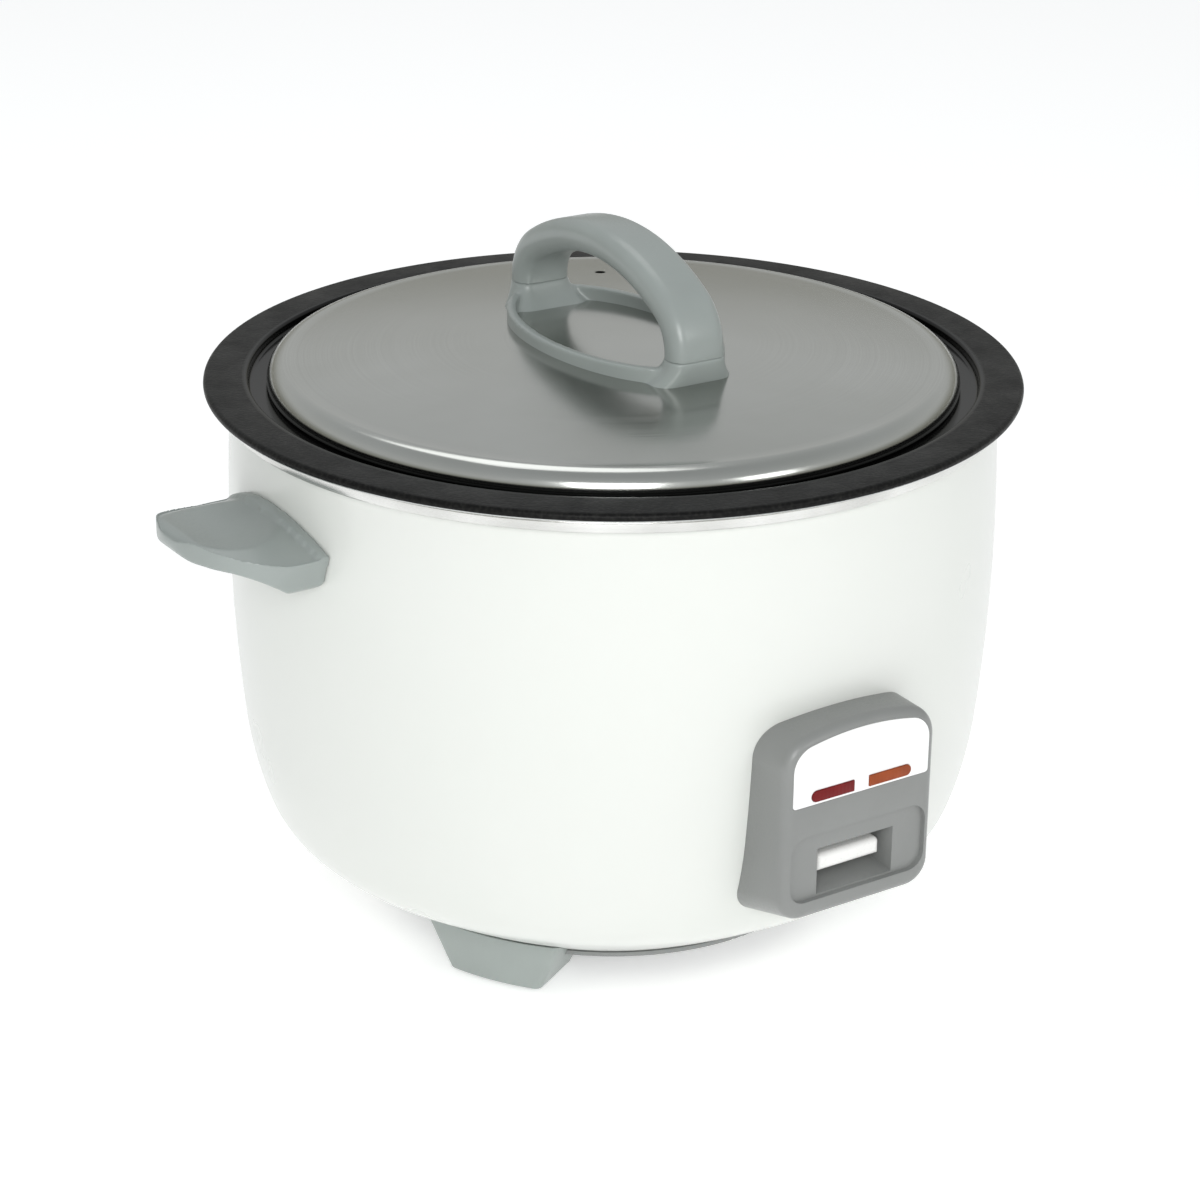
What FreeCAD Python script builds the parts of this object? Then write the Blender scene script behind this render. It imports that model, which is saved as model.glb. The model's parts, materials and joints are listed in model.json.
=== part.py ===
import FreeCAD, Part
import math
import os

# Rice cooker, millimetres. +Z up, origin on the floor plane under the middle of the drum,
# control panel towards -Y, carrying handles on -X and +X.

V = FreeCAD.Vector
X_AXIS = V(1, 0, 0)
Y_AXIS = V(0, 1, 0)
Z_AXIS = V(0, 0, 1)
ORIGIN = V(0, 0, 0)

# ---- driving dimensions: drum -------------------------------------------------------------
foot_height = 16.0            # floor to the underside of the drum
drum_rim_radius = 172.5       # painted wall at its top edge
drum_height = 231.7           # underside of the drum to the lower edge of the bright rim
rim_lean_deg = 4.2            # the wall leans out this much going down from the rim
belly_foot_inset = 2.0        # the wall bends in below here
belly_foot_height = 84.0
knee_inset = 10.0
knee_height = 47.0
heel_width = 44.0             # width of the sloping underside
heel_height = 27.0
drum_belly = 2.3              # the wall swells this much outside its top edge
drum_base_inset = 69.5        # rim radius less the radius of the flat ring under the drum
base_land = 9.0               # width of that flat ring
shell_wall = 1.2

# ---- rim ring, liner and pot ----------------------------------------------------------------
rim_height = 5.9
rim_overhang = 4.0            # how far the bright rim stands out from the drum's top edge
rim_wall = 1.4
pot_inset = 22.5              # drum's rim radius less the inside radius of the pot
pot_wall = 2.0
pot_floor_height = 58.0       # drum's underside up to the pot floor
pot_corner = 38.0
pot_ledge = 14.0              # width of the step that carries the lid
pot_step = 4.5                # the ledge lies this far below the flange
flange_overhang = 11.5        # how far the flange stands out from the drum's top edge
pot_lip = 2.2                 # radius of the rolled lip
liner_gap = 3.5               # air between pot and liner
liner_wall = 1.0
liner_corner = 40.0
under_pot_room = 27.0         # pot floor down to the liner floor

# ---- lid ------------------------------------------------------------------------------------
lid_lap = 5.8                 # how far the lid's edge lies outside the pot wall
lid_rise = 15.5               # lid seat to the crown
lid_shoulder = 10.0           # width of the turned-down edge
lid_shoulder_drop = 7.5
lid_sheet = 1.0
lid_bead = 1.6
vent_radius = 2.6
vent_inset = 43.8             # vent hole in from the lid's edge
vent_angle_deg = 60.0

# ---- lid handle -------------------------------------------------------------------------------
lid_turn_deg = -2.0           # how far the lid is turned from straight fore and aft
bow_half_span = 66.5          # middle of each grip foot from the lid's middle
bow_rise = 35.2               # grip seam to the top of the grip's centre line
bow_crown_radius = 110.0
bow_corner_radius = 22.0
bow_width = 27.0
bow_thickness = 15.0
seam_height = 9.5             # grip seam above the lid's crown
base_half_length = 69.0
base_half_width = 39.0
base_rail = 4.0
base_rail_height = 5.6
horn_width = 50.0
horn_depth = 24.0

# ---- side handles -------------------------------------------------------------------------------
handle_length = 49.2          # tip of a handle out from the drum's widest place
handle_half_width = 43.0
handle_tip_half_width = 33.0
handle_drop = 18.7            # drum's top edge down to the top of a handle
handle_height = 36.5
handle_tip_thickness = 12.0
handle_plate = 3.5
handle_side_drop = 12.0
handle_screw_spacing = 46.0
handle_edge = 1.2

# ---- control panel ------------------------------------------------------------------------------
panel_stand = 17.2            # front face out from the drum's widest place
panel_half_width = 39.5
panel_flare = 2.0             # extra half-width where it meets the drum
panel_low = 57.0              # above the drum's underside, at the front face
panel_high = 144.0
panel_skirt = 14.0            # the lower edge drops this much towards the drum
panel_corner = 15.0
panel_low_corner = 12.0
panel_crown = 6.0
panel_wall = 2.4
panel_edge = 5.0
plate_margin = 4.0            # faceplate inside the panel's outline
plate_low = 110.0
plate_thickness = 1.2
plate_corner = 11.0
lens_width = 22.0
lens_height = 5.0
lens_gap = 8.0                # between the two lamp lenses
lens_low = 111.2
recess_low = 64.5
recess_high = 95.5
recess_depth = 2.5
recess_corner = 8.0
slot_half_width = 20.0
slot_low = 65.5
slot_high = 87.0
slot_depth = 17.0
slot_floor_rise = 1.5

# ---- lever, magnet and sensor ------------------------------------------------------------------
lever_travel_deg = 3.5
pivot_inset = 58.0            # pivot pin in from the pot wall
lever_pivot_height = 10.5     # above the drum's underside
lever_strip = 2.0
lever_width = 8.0
paddle_half_width = 16.5
paddle_low = 73.0
paddle_high = 81.0
paddle_edge = 2.5
paddle_sink = 6.5             # paddle's front edge behind the panel's face
pin_radius = 1.5
cap_radius = 18.0
cap_height = 14.0
cap_wall = 1.0
cap_edge = 2.0
cap_overtravel = 1.5
tube_radius = 16.5
tube_wall = 1.2
ferrite_thickness = 4.5
magnet_radius = 12.0
magnet_height = 6.0
rod_radius = 2.5
collar_radius = 6.0

# ---- heating ------------------------------------------------------------------------------------
heater_thickness = 14.0
plate_edge = 3.0
element_radius = 3.5
element_inset = 34.0          # middle of the element in from the plate's edge
sensor_hole = 24.0
post_inset = 16.0             # supporting posts in from the plate's edge
band_low = 131.85             # keep-warm band above the floor
band_height = 30.0
band_wall = 1.2

# ---- power inlet --------------------------------------------------------------------------------
inlet_half_width = 26.0
inlet_half_height = 19.0
inlet_corner = 6.0
inlet_edge = 2.0
inlet_middle = 78.0           # above the drum's underside
inlet_stand = 17.2            # back face out from the drum's widest place

# ---- feet and base ------------------------------------------------------------------------------
cover_thickness = 2.5
cover_edge = 1.2
foot_reach = 14.0             # feet out from the drum's flat ring
foot_depth = 33.0             # radial depth of a foot's sole
foot_half_width = 23.0
foot_flare = 11.0
foot_corner = 4.0
foot_edge = 1.2
pad_radius = 8.0
pad_height = 3.0
pad_proud = 1.0
pad_edge = 0.6

# ---- fits ---------------------------------------------------------------------------------------
seat_gap = 0.3                # between curved or moving faces that nearly touch
trim_gap = 0.15               # around trim let into a pocket
running_gap = 0.05            # radial, pin in a bore
hole_gap = 0.15               # radial, screw in a clearance hole

turning_start_deg = 57.0      # start angle of the turned shapes

# ---- sizes that follow ------------------------------------------------------------------------------
drum_base = foot_height
drum_radius = drum_rim_radius + drum_belly
drum_base_radius = drum_rim_radius - drum_base_inset
drum_opening_radius = drum_base_radius - base_land
pot_radius = drum_rim_radius - pot_inset
pot_flange_radius = drum_rim_radius + flange_overhang
lid_radius = pot_radius + lid_lap
vent_place = lid_radius - vent_inset
handle_reach = drum_radius + handle_length
handle_top = drum_height - handle_drop
panel_reach = drum_radius + panel_stand
inlet_reach = drum_radius + inlet_stand
paddle_reach = panel_reach - paddle_sink
lever_pivot_reach = pot_radius - pivot_inset
plate_radius = pot_radius - pot_corner
element_ring = plate_radius - element_inset
post_ring = plate_radius - post_inset
foot_outer = drum_base_radius + foot_reach
foot_inner = foot_outer - foot_depth
drum_top = drum_base + drum_height
rim_top = drum_top + rim_height
ledge_top = rim_top + 0.9
flange_top = ledge_top + pot_step
pot_floor = drum_base + pot_floor_height
pot_underside = pot_floor - pot_wall
heater_top = pot_underside - seat_gap
heater_base = heater_top - heater_thickness
liner_floor = pot_underside - under_pot_room
liner_radius = pot_radius + pot_wall + liner_gap
liner_outer = liner_radius + liner_wall
lid_seat = ledge_top + seat_gap
lid_crown = lid_seat + 2 * lid_bead + lid_rise
seam = lid_crown + seam_height


# ---- helpers ----------------------------------------------------------------------------------------
def arc(start, middle, end):
    return Part.Arc(V(*start), V(*middle), V(*end)).toShape()


def line(start, end):
    return Part.LineSegment(V(*start), V(*end)).toShape()


def turned(edges):
    """Solid turned about the drum's axis from a closed section in the XZ plane. The turning
    starts at an angle where nothing is cut."""
    face = Part.Face(Part.Wire(edges))
    face.rotate(ORIGIN, Z_AXIS, turning_start_deg)
    return face.revolve(ORIGIN, Z_AXIS, 360)


def section(points):
    """Edges through (radius, height) points. A point with a third value bulges the edge that
    ends there into an arc through that (radius, height)."""
    edges = []
    count = len(points)
    for index in range(count):
        here = points[index]
        nxt = points[(index + 1) % count]
        start = (here[0], 0, here[1])
        end = (nxt[0], 0, nxt[1])
        if len(nxt) > 2:
            edges.append(arc(start, (nxt[2][0], 0, nxt[2][1]), end))
        else:
            edges.append(line(start, end))
    return edges


def corner_mid(centre, radius, angle_deg):
    angle = math.radians(angle_deg)
    return (centre[0] + radius * math.cos(angle), centre[1] + radius * math.sin(angle))


def rod(radius, length, base, direction=Z_AXIS):
    return Part.makeCylinder(radius, length, base, direction)


def box(low, high):
    return Part.makeBox(high[0] - low[0], high[1] - low[1], high[2] - low[2], V(*low))


def polar(radius, angle_deg, height):
    angle = math.radians(angle_deg)
    return V(radius * math.cos(angle), radius * math.sin(angle), height)


def screw(radius, length, head_radius, head_height, head_base, direction):
    """Round-head screw: the head sits on head_base, the shank runs along direction."""
    shank = rod(radius, length, head_base, direction)
    head = rod(head_radius, head_height, head_base - direction * head_height, direction)
    return shank.fuse(head).removeSplitter()


def save(name, shapes):
    if not isinstance(shapes, list):
        shapes = [shapes]
    solids = [solid for shape in shapes for solid in shape.Solids]
    for solid in solids:
        if not solid.isValid() or solid.Volume <= 0:
            raise RuntimeError(name + " is not a sound solid")
    shape = solids[0] if len(solids) == 1 else Part.makeCompound(solids)
    shape.exportStep("parts/" + name + ".step")
    print(name, len(solids), "solid(s)", round(sum(s.Volume for s in solids)), "mm3")


def crowned_outline(y, half_width, low, high, crown, low_corner, high_corner):
    """Wire in the plane at y: upright sides, rounded lower corners and an arched top."""
    crown_radius = (half_width ** 2 + crown ** 2) / (2 * crown)
    crown_middle = high - crown_radius
    side = half_width - high_corner
    reach = crown_radius - high_corner
    corner_height = crown_middle + math.sqrt(reach ** 2 - side ** 2)
    lean = math.atan2(corner_height - crown_middle, side)
    touch_x = crown_radius * math.cos(lean)
    touch_z = crown_middle + crown_radius * math.sin(lean)
    half = lean / 2
    bend_x = side + high_corner * math.cos(half)
    bend_z = corner_height + high_corner * math.sin(half)
    foot_x = half_width - low_corner
    foot_z = low + low_corner
    knee = low_corner * math.sqrt(0.5)
    edges = [
        line((-foot_x, y, low), (foot_x, y, low)),
        arc((foot_x, y, low), (foot_x + knee, y, foot_z - knee), (half_width, y, foot_z)),
        line((half_width, y, foot_z), (half_width, y, corner_height)),
        arc((half_width, y, corner_height), (bend_x, y, bend_z), (touch_x, y, touch_z)),
        arc((touch_x, y, touch_z), (0, y, high), (-touch_x, y, touch_z)),
        arc((-touch_x, y, touch_z), (-bend_x, y, bend_z), (-half_width, y, corner_height)),
        line((-half_width, y, corner_height), (-half_width, y, foot_z)),
        arc((-half_width, y, foot_z), (-foot_x - knee, y, foot_z - knee), (-foot_x, y, low)),
    ]
    return Part.Wire(edges)


def prism(wire, length, direction=Y_AXIS):
    return Part.Face(wire).extrude(direction * length)


def rounded_rectangle(y, low_x, high_x, low_z, high_z, radius):
    block = box((low_x, y, low_z), (high_x, y + 1, high_z))
    upright = [e for e in block.Edges if abs(e.Vertexes[0].Y - e.Vertexes[1].Y) > 0.5]
    rounded = block.makeFillet(radius, upright)
    face = [f for f in rounded.Faces if abs(f.CenterOfMass.y - y) < 1e-6][0]
    return face.OuterWire


# ---- drum ---------------------------------------------------------------------------------------------
def tangent_arc(start, lean, end):
    """Arc that leaves start at a lean (degrees in from straight down) and reaches end.
    Gives the arc's middle point and the lean at its end."""
    chord = math.degrees(math.atan2(start[0] - end[0], start[1] - end[1]))
    turn = 2 * (chord - lean)
    length = math.hypot(end[0] - start[0], end[1] - start[1])
    bulge = length / 2 * math.tan(math.radians(turn / 4))
    side = math.radians(chord)
    middle = ((start[0] + end[0]) / 2 + bulge * math.cos(side),
              (start[1] + end[1]) / 2 - bulge * math.sin(side))
    return middle, lean + turn


def drum_outline(inset):
    """Start, middle and end of each arc of the wall from the rim down to the base ring, moved
    in by inset. The arcs run into each other without a corner."""
    knots = [
        (drum_rim_radius, drum_height),
        (drum_rim_radius - belly_foot_inset, belly_foot_height),
        (drum_rim_radius - knee_inset, knee_height),
        (drum_base_radius + heel_width, heel_height),
        (drum_base_radius, 0),
    ]
    lean = -rim_lean_deg
    runs = []
    for start, end in zip(knots, knots[1:]):
        middle, next_lean = tangent_arc(start, lean, end)
        run = []
        for (radius, height), angle in ((start, lean), (middle, (lean + next_lean) / 2), (end, next_lean)):
            out = math.radians(angle)
            run.append((radius - inset * math.cos(out), 0, drum_base + height + inset * math.sin(out)))
        runs.append(run)
        lean = next_lean
    return runs


def drum_body(inset, base=drum_base, top=drum_top):
    """Solid of everything inside the wall surface moved in by inset."""
    runs = drum_outline(inset)
    high = runs[0][0]
    low = runs[-1][-1]
    corners = [low, (low[0], 0, base), (0, 0, base), (0, 0, top), (high[0], 0, top), high]
    edges = [arc(*run) for run in runs]
    edges += [line(start, end) for start, end in zip(corners, corners[1:]) if start != end]
    return turned(edges)


def wall_radius(height, inset):
    """Radius of the wall, moved in by inset, at a height above the drum's underside."""
    level = drum_base + height
    probe = line((0, 0, level), (drum_radius + 5, 0, level))
    near = min(drum_outline(inset), key=lambda run: arc(*run).distToShape(probe)[0])
    return arc(*near).distToShape(probe)[1][0][0].x


shell_edge_top = rim_top - rim_wall - hole_gap
drum_outside = drum_body(-trim_gap, drum_base - 1, drum_top)
window_half_width = 26.0
window_low = panel_low + 3.0
window_high = panel_high - 14.0
boss_radius = 4.0
boss_blind = 8.0              # a boss's bore stops this far behind the panel's face
boss_x = panel_half_width - panel_wall - boss_radius - 2.0
boss_heights = [recess_low + 3.0, plate_low + 16.0]
panel_screw_radius = 1.5
panel_screw_head = 3.0
handle_screw_radius = 2.0
handle_screw_head = 3.8
handle_screw_height = handle_top - handle_height / 2 + 2


def outer_body_shell():
    outside = drum_body(0, drum_base, shell_edge_top)
    inside = drum_body(shell_wall, drum_base + shell_wall, shell_edge_top)
    shell = outside.cut(inside)
    cutters = [rod(drum_opening_radius, 10, V(0, 0, drum_base - 5))]
    cutters.append(box((-window_half_width, -drum_radius - 10, drum_base + window_low),
                       (window_half_width, -drum_base_radius, drum_base + window_high)))
    for x in (-boss_x, boss_x):
        for height in boss_heights:
            start = V(x, -drum_radius - 5, drum_base + height)
            cutters.append(rod(panel_screw_radius + hole_gap, 60, start, Y_AXIS))
    for side in (-1, 1):
        for y in (-handle_screw_spacing / 2, handle_screw_spacing / 2):
            start = V(side * (drum_radius - 20), y, drum_base + handle_screw_height)
            cutters.append(rod(handle_screw_radius + hole_gap, 40, start, X_AXIS * side))
    for angle in base_screw_angles:
        cutters.append(rod(base_screw_radius + hole_gap, 10, polar(base_screw_ring, angle, drum_base - 5)))
    inlet_window = 6
    cutters.append(box((-inlet_half_width + inlet_window, drum_base_radius,
                        drum_base + inlet_middle - inlet_half_height + inlet_window),
                       (inlet_half_width - inlet_window, drum_radius + 10,
                        drum_base + inlet_middle + inlet_half_height - inlet_window)))
    for x in (-inlet_screw_x, inlet_screw_x):
        start = V(x, drum_base_radius, drum_base + inlet_middle)
        cutters.append(rod(panel_screw_radius + hole_gap, 90, start, Y_AXIS))
    return shell.cut(cutters)


# ---- rim ring and liner ------------------------------------------------------------------------------------
ring_outer = drum_rim_radius + rim_overhang
ring_inner = pot_radius + pot_ledge + pot_wall + seat_gap + 1.5
liner_flange_top = drum_top + 2.3


def body_rim_ring():
    groove_in = drum_rim_radius - shell_wall - hole_gap
    groove_out = drum_rim_radius + hole_gap
    round_top = 2.2
    bend = corner_mid((ring_outer - round_top, rim_top - round_top), round_top, 45)
    return turned(section([
        (groove_out, drum_top),
        (ring_outer, drum_top),
        (ring_outer, rim_top - round_top),
        (ring_outer - round_top, rim_top, bend),
        (ring_inner, rim_top),
        (ring_inner, liner_flange_top),
        (groove_in, liner_flange_top),
        (groove_in, rim_top - rim_wall),
        (groove_out, rim_top - rim_wall),
    ]))


def inner_liner():
    centre = (liner_radius - liner_corner + liner_wall, liner_floor + liner_corner - liner_wall)
    inner_bend = corner_mid(centre, liner_corner - liner_wall, -45)
    outer_bend = corner_mid(centre, liner_corner, -45)
    flange_edge = drum_rim_radius - shell_wall - hole_gap
    flange_low = liner_flange_top - liner_wall
    liner = turned(section([
        (0, liner_floor - liner_wall),
        (centre[0], liner_floor - liner_wall),
        (liner_outer, centre[1], outer_bend),
        (liner_outer, flange_low),
        (flange_edge, flange_low),
        (flange_edge, liner_flange_top),
        (liner_radius, liner_flange_top),
        (liner_radius, centre[1]),
        (centre[0], liner_floor, inner_bend),
        (0, liner_floor),
    ]))
    liner = liner.cut(rod(tube_radius + hole_gap, 10, V(0, 0, liner_floor - 5)))
    for angle in post_angles:
        liner = liner.cut(rod(post_screw_radius + hole_gap, 10, polar(post_ring, angle, liner_floor - 5)))
    for angle in terminal_angles:
        liner = liner.cut(rod(element_radius + 2.5, 10, polar(element_ring, angle, liner_floor - 5)))
    for y in bracket_screw_places:
        liner = liner.cut(rod(bracket_screw_radius + hole_gap, 10, V(0, y, liner_floor - 5)))
    for x in block_screw_places:
        liner = liner.cut(rod(bracket_screw_radius + hole_gap, 10, V(x, block_middle, liner_floor - 5)))
    return liner


# ---- pot -------------------------------------------------------------------------------------------------------
def inner_pot():
    outside = pot_radius + pot_wall
    centre = (pot_radius - pot_corner + pot_wall, pot_underside + pot_corner)
    inner_bend = corner_mid(centre, pot_corner - pot_wall, -45)
    outer_bend = corner_mid(centre, pot_corner, -45)
    step = pot_radius + pot_ledge
    lip_centre = (pot_flange_radius - pot_lip, flange_top - pot_lip)
    ease = 1.5
    step_low = corner_mid((step - ease, ledge_top + ease), ease, -45)
    step_high = corner_mid((step + ease, flange_top - ease), ease, 135)
    return turned(section([
        (0, pot_underside),
        (centre[0], pot_underside),
        (outside, centre[1], outer_bend),
        (outside, ledge_top - pot_wall),
        (step + pot_wall, ledge_top - pot_wall),
        (step + pot_wall, flange_top - pot_wall),
        (lip_centre[0], flange_top - pot_wall),
        (lip_centre[0], flange_top - 2 * pot_lip),
        (lip_centre[0], flange_top, (pot_flange_radius, lip_centre[1])),
        (step + ease, flange_top),
        (step, flange_top - ease, step_high),
        (step, ledge_top + ease),
        (step - ease, ledge_top, step_low),
        (pot_radius, ledge_top),
        (pot_radius, centre[1]),
        (centre[0], pot_floor, inner_bend),
        (0, pot_floor),
    ]))


# ---- lid -------------------------------------------------------------------------------------------------------
shoulder_radius = lid_radius - lid_shoulder
shoulder_top = lid_seat + 2 * lid_bead + lid_shoulder_drop
crown_drop = lid_crown - shoulder_top
dome_radius = (shoulder_radius ** 2 + crown_drop ** 2) / (2 * crown_drop)


def dome_height(radius, inset=0.0):
    """Height of the lid's top surface above the floor at a radius from the middle."""
    return lid_crown - dome_radius + math.sqrt((dome_radius - inset) ** 2 - radius ** 2)


def lid_handle_turn(shape):
    shape.rotate(ORIGIN, Z_AXIS, lid_turn_deg)
    return shape


def lid_body(inset):
    """Solid under the lid's top surface moved down by inset, for the sheet and for cutting."""
    edge = lid_radius - inset
    knee = (shoulder_radius + lid_shoulder * 0.74, shoulder_top - lid_shoulder_drop * 0.34)
    shift = inset * 0.8
    return turned(section([
        (0, lid_seat),
        (edge, lid_seat),
        (edge, lid_seat + 2 * lid_bead),
        (shoulder_radius, dome_height(shoulder_radius, inset), (knee[0] - shift, knee[1] - shift)),
        (0, lid_crown - inset, (shoulder_radius / 2, dome_height(shoulder_radius / 2, inset))),
    ]))


def lid_shell():
    lid = lid_body(0).cut(lid_body(lid_sheet))
    ring = Part.makeTorus(lid_radius - lid_bead, lid_bead, V(0, 0, lid_seat + lid_bead))
    lid = lid.fuse(ring).removeSplitter()
    lid = lid.cut(rod(vent_radius, 40, polar(vent_place, vent_angle_deg, lid_seat)))
    for y in (-bow_half_span, bow_half_span):
        hole = rod(lid_screw_radius + hole_gap, 60, V(0, y, lid_seat))
        lid = lid.cut(lid_handle_turn(hole))
    return lid


# ---- lid handle ------------------------------------------------------------------------------------------------
lid_screw_radius = 2.0
lid_screw_bite = 14.0


def horn(side):
    """Flared post between the oval base and one foot of the grip."""
    outer = base_half_length - 1.0
    low_z = lid_crown - 6
    bottom = Part.Wire(rounded_block(horn_width, horn_depth, 9.0, low_z, side * (outer - horn_depth / 2)))
    top = Part.Wire(rounded_block(bow_width, bow_thickness, 6.0, seam, side * bow_half_span))
    return Part.makeLoft([bottom, top], True, True)


def rounded_block(width, depth, radius, height, y):
    """Edges of a rounded rectangle lying level at a height, centred on x = 0 and y."""
    half_w = width / 2
    half_d = depth / 2
    inset_w = half_w - radius
    inset_d = half_d - radius
    knee = radius * math.sqrt(0.5)
    return [
        line((-inset_w, y - half_d, height), (inset_w, y - half_d, height)),
        arc((inset_w, y - half_d, height), (inset_w + knee, y - inset_d - knee, height),
            (half_w, y - inset_d, height)),
        line((half_w, y - inset_d, height), (half_w, y + inset_d, height)),
        arc((half_w, y + inset_d, height), (inset_w + knee, y + inset_d + knee, height),
            (inset_w, y + half_d, height)),
        line((inset_w, y + half_d, height), (-inset_w, y + half_d, height)),
        arc((-inset_w, y + half_d, height), (-inset_w - knee, y + inset_d + knee, height),
            (-half_w, y + inset_d, height)),
        line((-half_w, y + inset_d, height), (-half_w, y - inset_d, height)),
        arc((-half_w, y - inset_d, height), (-inset_w - knee, y - inset_d - knee, height),
            (-inset_w, y - half_d, height)),
    ]


def oval(half_length, half_width, height, depth):
    curve = Part.Ellipse(V(0, half_length, height), V(half_width, 0, height), V(0, 0, height))
    return Part.Face(Part.Wire([curve.toShape()])).extrude(Z_AXIS * depth)


def lid_handle_base():
    low_z = lid_crown - 6
    rail_top = dome_height(base_half_width) + base_rail_height
    rail = oval(base_half_length, base_half_width, low_z, rail_top - low_z)
    rail = rail.cut(oval(base_half_length - base_rail, base_half_width - base_rail, low_z, rail_top - low_z))
    base = rail
    for side in (-1, 1):
        base = base.fuse(horn(side))
    base = base.removeSplitter().cut(lid_body(0))
    for side in (-1, 1):
        base = base.cut(rod(lid_screw_radius + hole_gap, 60, V(0, side * bow_half_span, low_z)))
    return lid_handle_turn(base)


def lid_handle_grip():
    crown_top = seam + bow_rise
    crown_middle = crown_top - bow_crown_radius
    side = bow_half_span - bow_corner_radius
    reach = bow_crown_radius - bow_corner_radius
    corner_height = crown_middle + math.sqrt(reach ** 2 - side ** 2)
    lean = math.atan2(corner_height - crown_middle, side)
    touch_y = bow_crown_radius * math.cos(lean)
    touch_z = crown_middle + bow_crown_radius * math.sin(lean)
    bend_y = side + bow_corner_radius * math.cos(lean / 2)
    bend_z = corner_height + bow_corner_radius * math.sin(lean / 2)
    spine = Part.Wire([
        line((0, -bow_half_span, seam), (0, -bow_half_span, corner_height)),
        arc((0, -bow_half_span, corner_height), (0, -bend_y, bend_z), (0, -touch_y, touch_z)),
        arc((0, -touch_y, touch_z), (0, 0, crown_top), (0, touch_y, touch_z)),
        arc((0, touch_y, touch_z), (0, bend_y, bend_z), (0, bow_half_span, corner_height)),
        line((0, bow_half_span, corner_height), (0, bow_half_span, seam)),
    ])
    ring = Part.Wire(rounded_block(bow_width, bow_thickness, 6.5, seam, -bow_half_span))
    grip = spine.makePipeShell([ring], True, True)
    for side in (-1, 1):
        hole = rod(lid_screw_radius + hole_gap, lid_screw_bite + 1, V(0, side * bow_half_span, seam))
        grip = grip.cut(hole)
    return lid_handle_turn(grip)


def lid_handle_fasteners():
    screws = []
    washers = []
    washer_height = 0.8
    for side in (-1, 1):
        under = dome_height(bow_half_span, lid_sheet) - 1.2
        spot = V(0, side * bow_half_span, under)
        shank = seam + lid_screw_bite - under + washer_height
        screws.append(lid_handle_turn(screw(lid_screw_radius, shank, 3.8, 2.2, spot - Z_AXIS * washer_height, Z_AXIS)))
        washer = rod(5.5, washer_height, spot - Z_AXIS * washer_height)
        washer = washer.cut(rod(lid_screw_radius + hole_gap, washer_height, spot - Z_AXIS * washer_height))
        washers.append(lid_handle_turn(washer))
    save("lid_handle_screws", screws)
    save("lid_handle_washers", washers)


# ---- side handles -------------------------------------------------------------------------------------------------
def side_handle(side):
    top = drum_base + handle_top
    low = top - handle_height
    wall = drum_radius - 12
    tip = handle_reach
    lip = handle_tip_thickness
    profile = Part.Wire([
        line((wall, 0, low), (drum_radius + handle_plate, 0, low)),
        arc((drum_radius + handle_plate, 0, low), (drum_radius + 17, 0, low + 13),
            (tip - 14, 0, top - lip - 3)),
        line((tip - 14, 0, top - lip - 3), (tip - lip / 2, 0, top - lip - 1.5)),
        arc((tip - lip / 2, 0, top - lip - 1.5), (tip, 0, top - lip / 2 - 2), (tip - lip / 2, 0, top - 2)),
        arc((tip - lip / 2, 0, top - 2), ((tip + drum_radius) / 2, 0, top - 4.5), (drum_radius, 0, top)),
        line((drum_radius, 0, top), (wall, 0, top)),
        line((wall, 0, top), (wall, 0, low)),
    ])
    wing = Part.Face(profile).extrude(Y_AXIS * 2 * handle_half_width)
    wing.translate(V(0, -handle_half_width, 0))
    half = handle_half_width
    tip_half = handle_tip_half_width
    plan = Part.Wire([
        line((wall, -half, 0), (drum_radius + handle_plate - 8, -half, 0)),
        arc((drum_radius + handle_plate - 8, -half, 0), (tip - 22, -half + 6, 0), (tip - 9, -tip_half + 6, 0)),
        arc((tip - 9, -tip_half + 6, 0), (tip, 0, 0), (tip - 9, tip_half - 6, 0)),
        arc((tip - 9, tip_half - 6, 0), (tip - 22, half - 6, 0), (drum_radius + handle_plate - 8, half, 0)),
        line((drum_radius + handle_plate - 8, half, 0), (wall, half, 0)),
        line((wall, half, 0), (wall, -half, 0)),
    ])
    footprint = Part.Face(plan).extrude(Z_AXIS * 400)
    drop = handle_side_drop
    front = Part.Wire([
        arc((0, -half, top - drop), (0, 0, top), (0, half, top - drop)),
        line((0, half, top - drop), (0, half - 4, low + 11)),
        arc((0, half - 4, low + 11), (0, 0, low), (0, -half + 4, low + 11)),
        line((0, -half + 4, low + 11), (0, -half, top - drop)),
    ])
    face = Part.Face(front).extrude(X_AXIS * 400)
    handle = wing.common(footprint).common(face).cut(drum_outside)
    handle = handle.removeSplitter()
    edges = [e for e in handle.Edges if e.CenterOfMass.x > drum_radius + handle_plate + 1]
    handle = handle.makeFillet(handle_edge, edges)
    for y in (-handle_screw_spacing / 2, handle_screw_spacing / 2):
        hole = rod(handle_screw_radius + hole_gap, 14, V(drum_radius - 6, y, drum_base + handle_screw_height), X_AXIS)
        handle = handle.cut(hole)
    if side < 0:
        handle = handle.mirror(ORIGIN, X_AXIS)
    return handle


def handle_screw_set():
    screws = []
    for side in (-1, 1):
        for y in (-handle_screw_spacing / 2, handle_screw_spacing / 2):
            radius = wall_radius(handle_screw_height - handle_screw_head, shell_wall)
            wall = math.sqrt(radius ** 2 - (abs(y) + handle_screw_head) ** 2) - seat_gap
            start = V(side * wall, y, drum_base + handle_screw_height)
            screws.append(screw(handle_screw_radius, drum_radius + 6 - wall, handle_screw_head, 2.4,
                                start, X_AXIS * side))
    return screws


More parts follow.
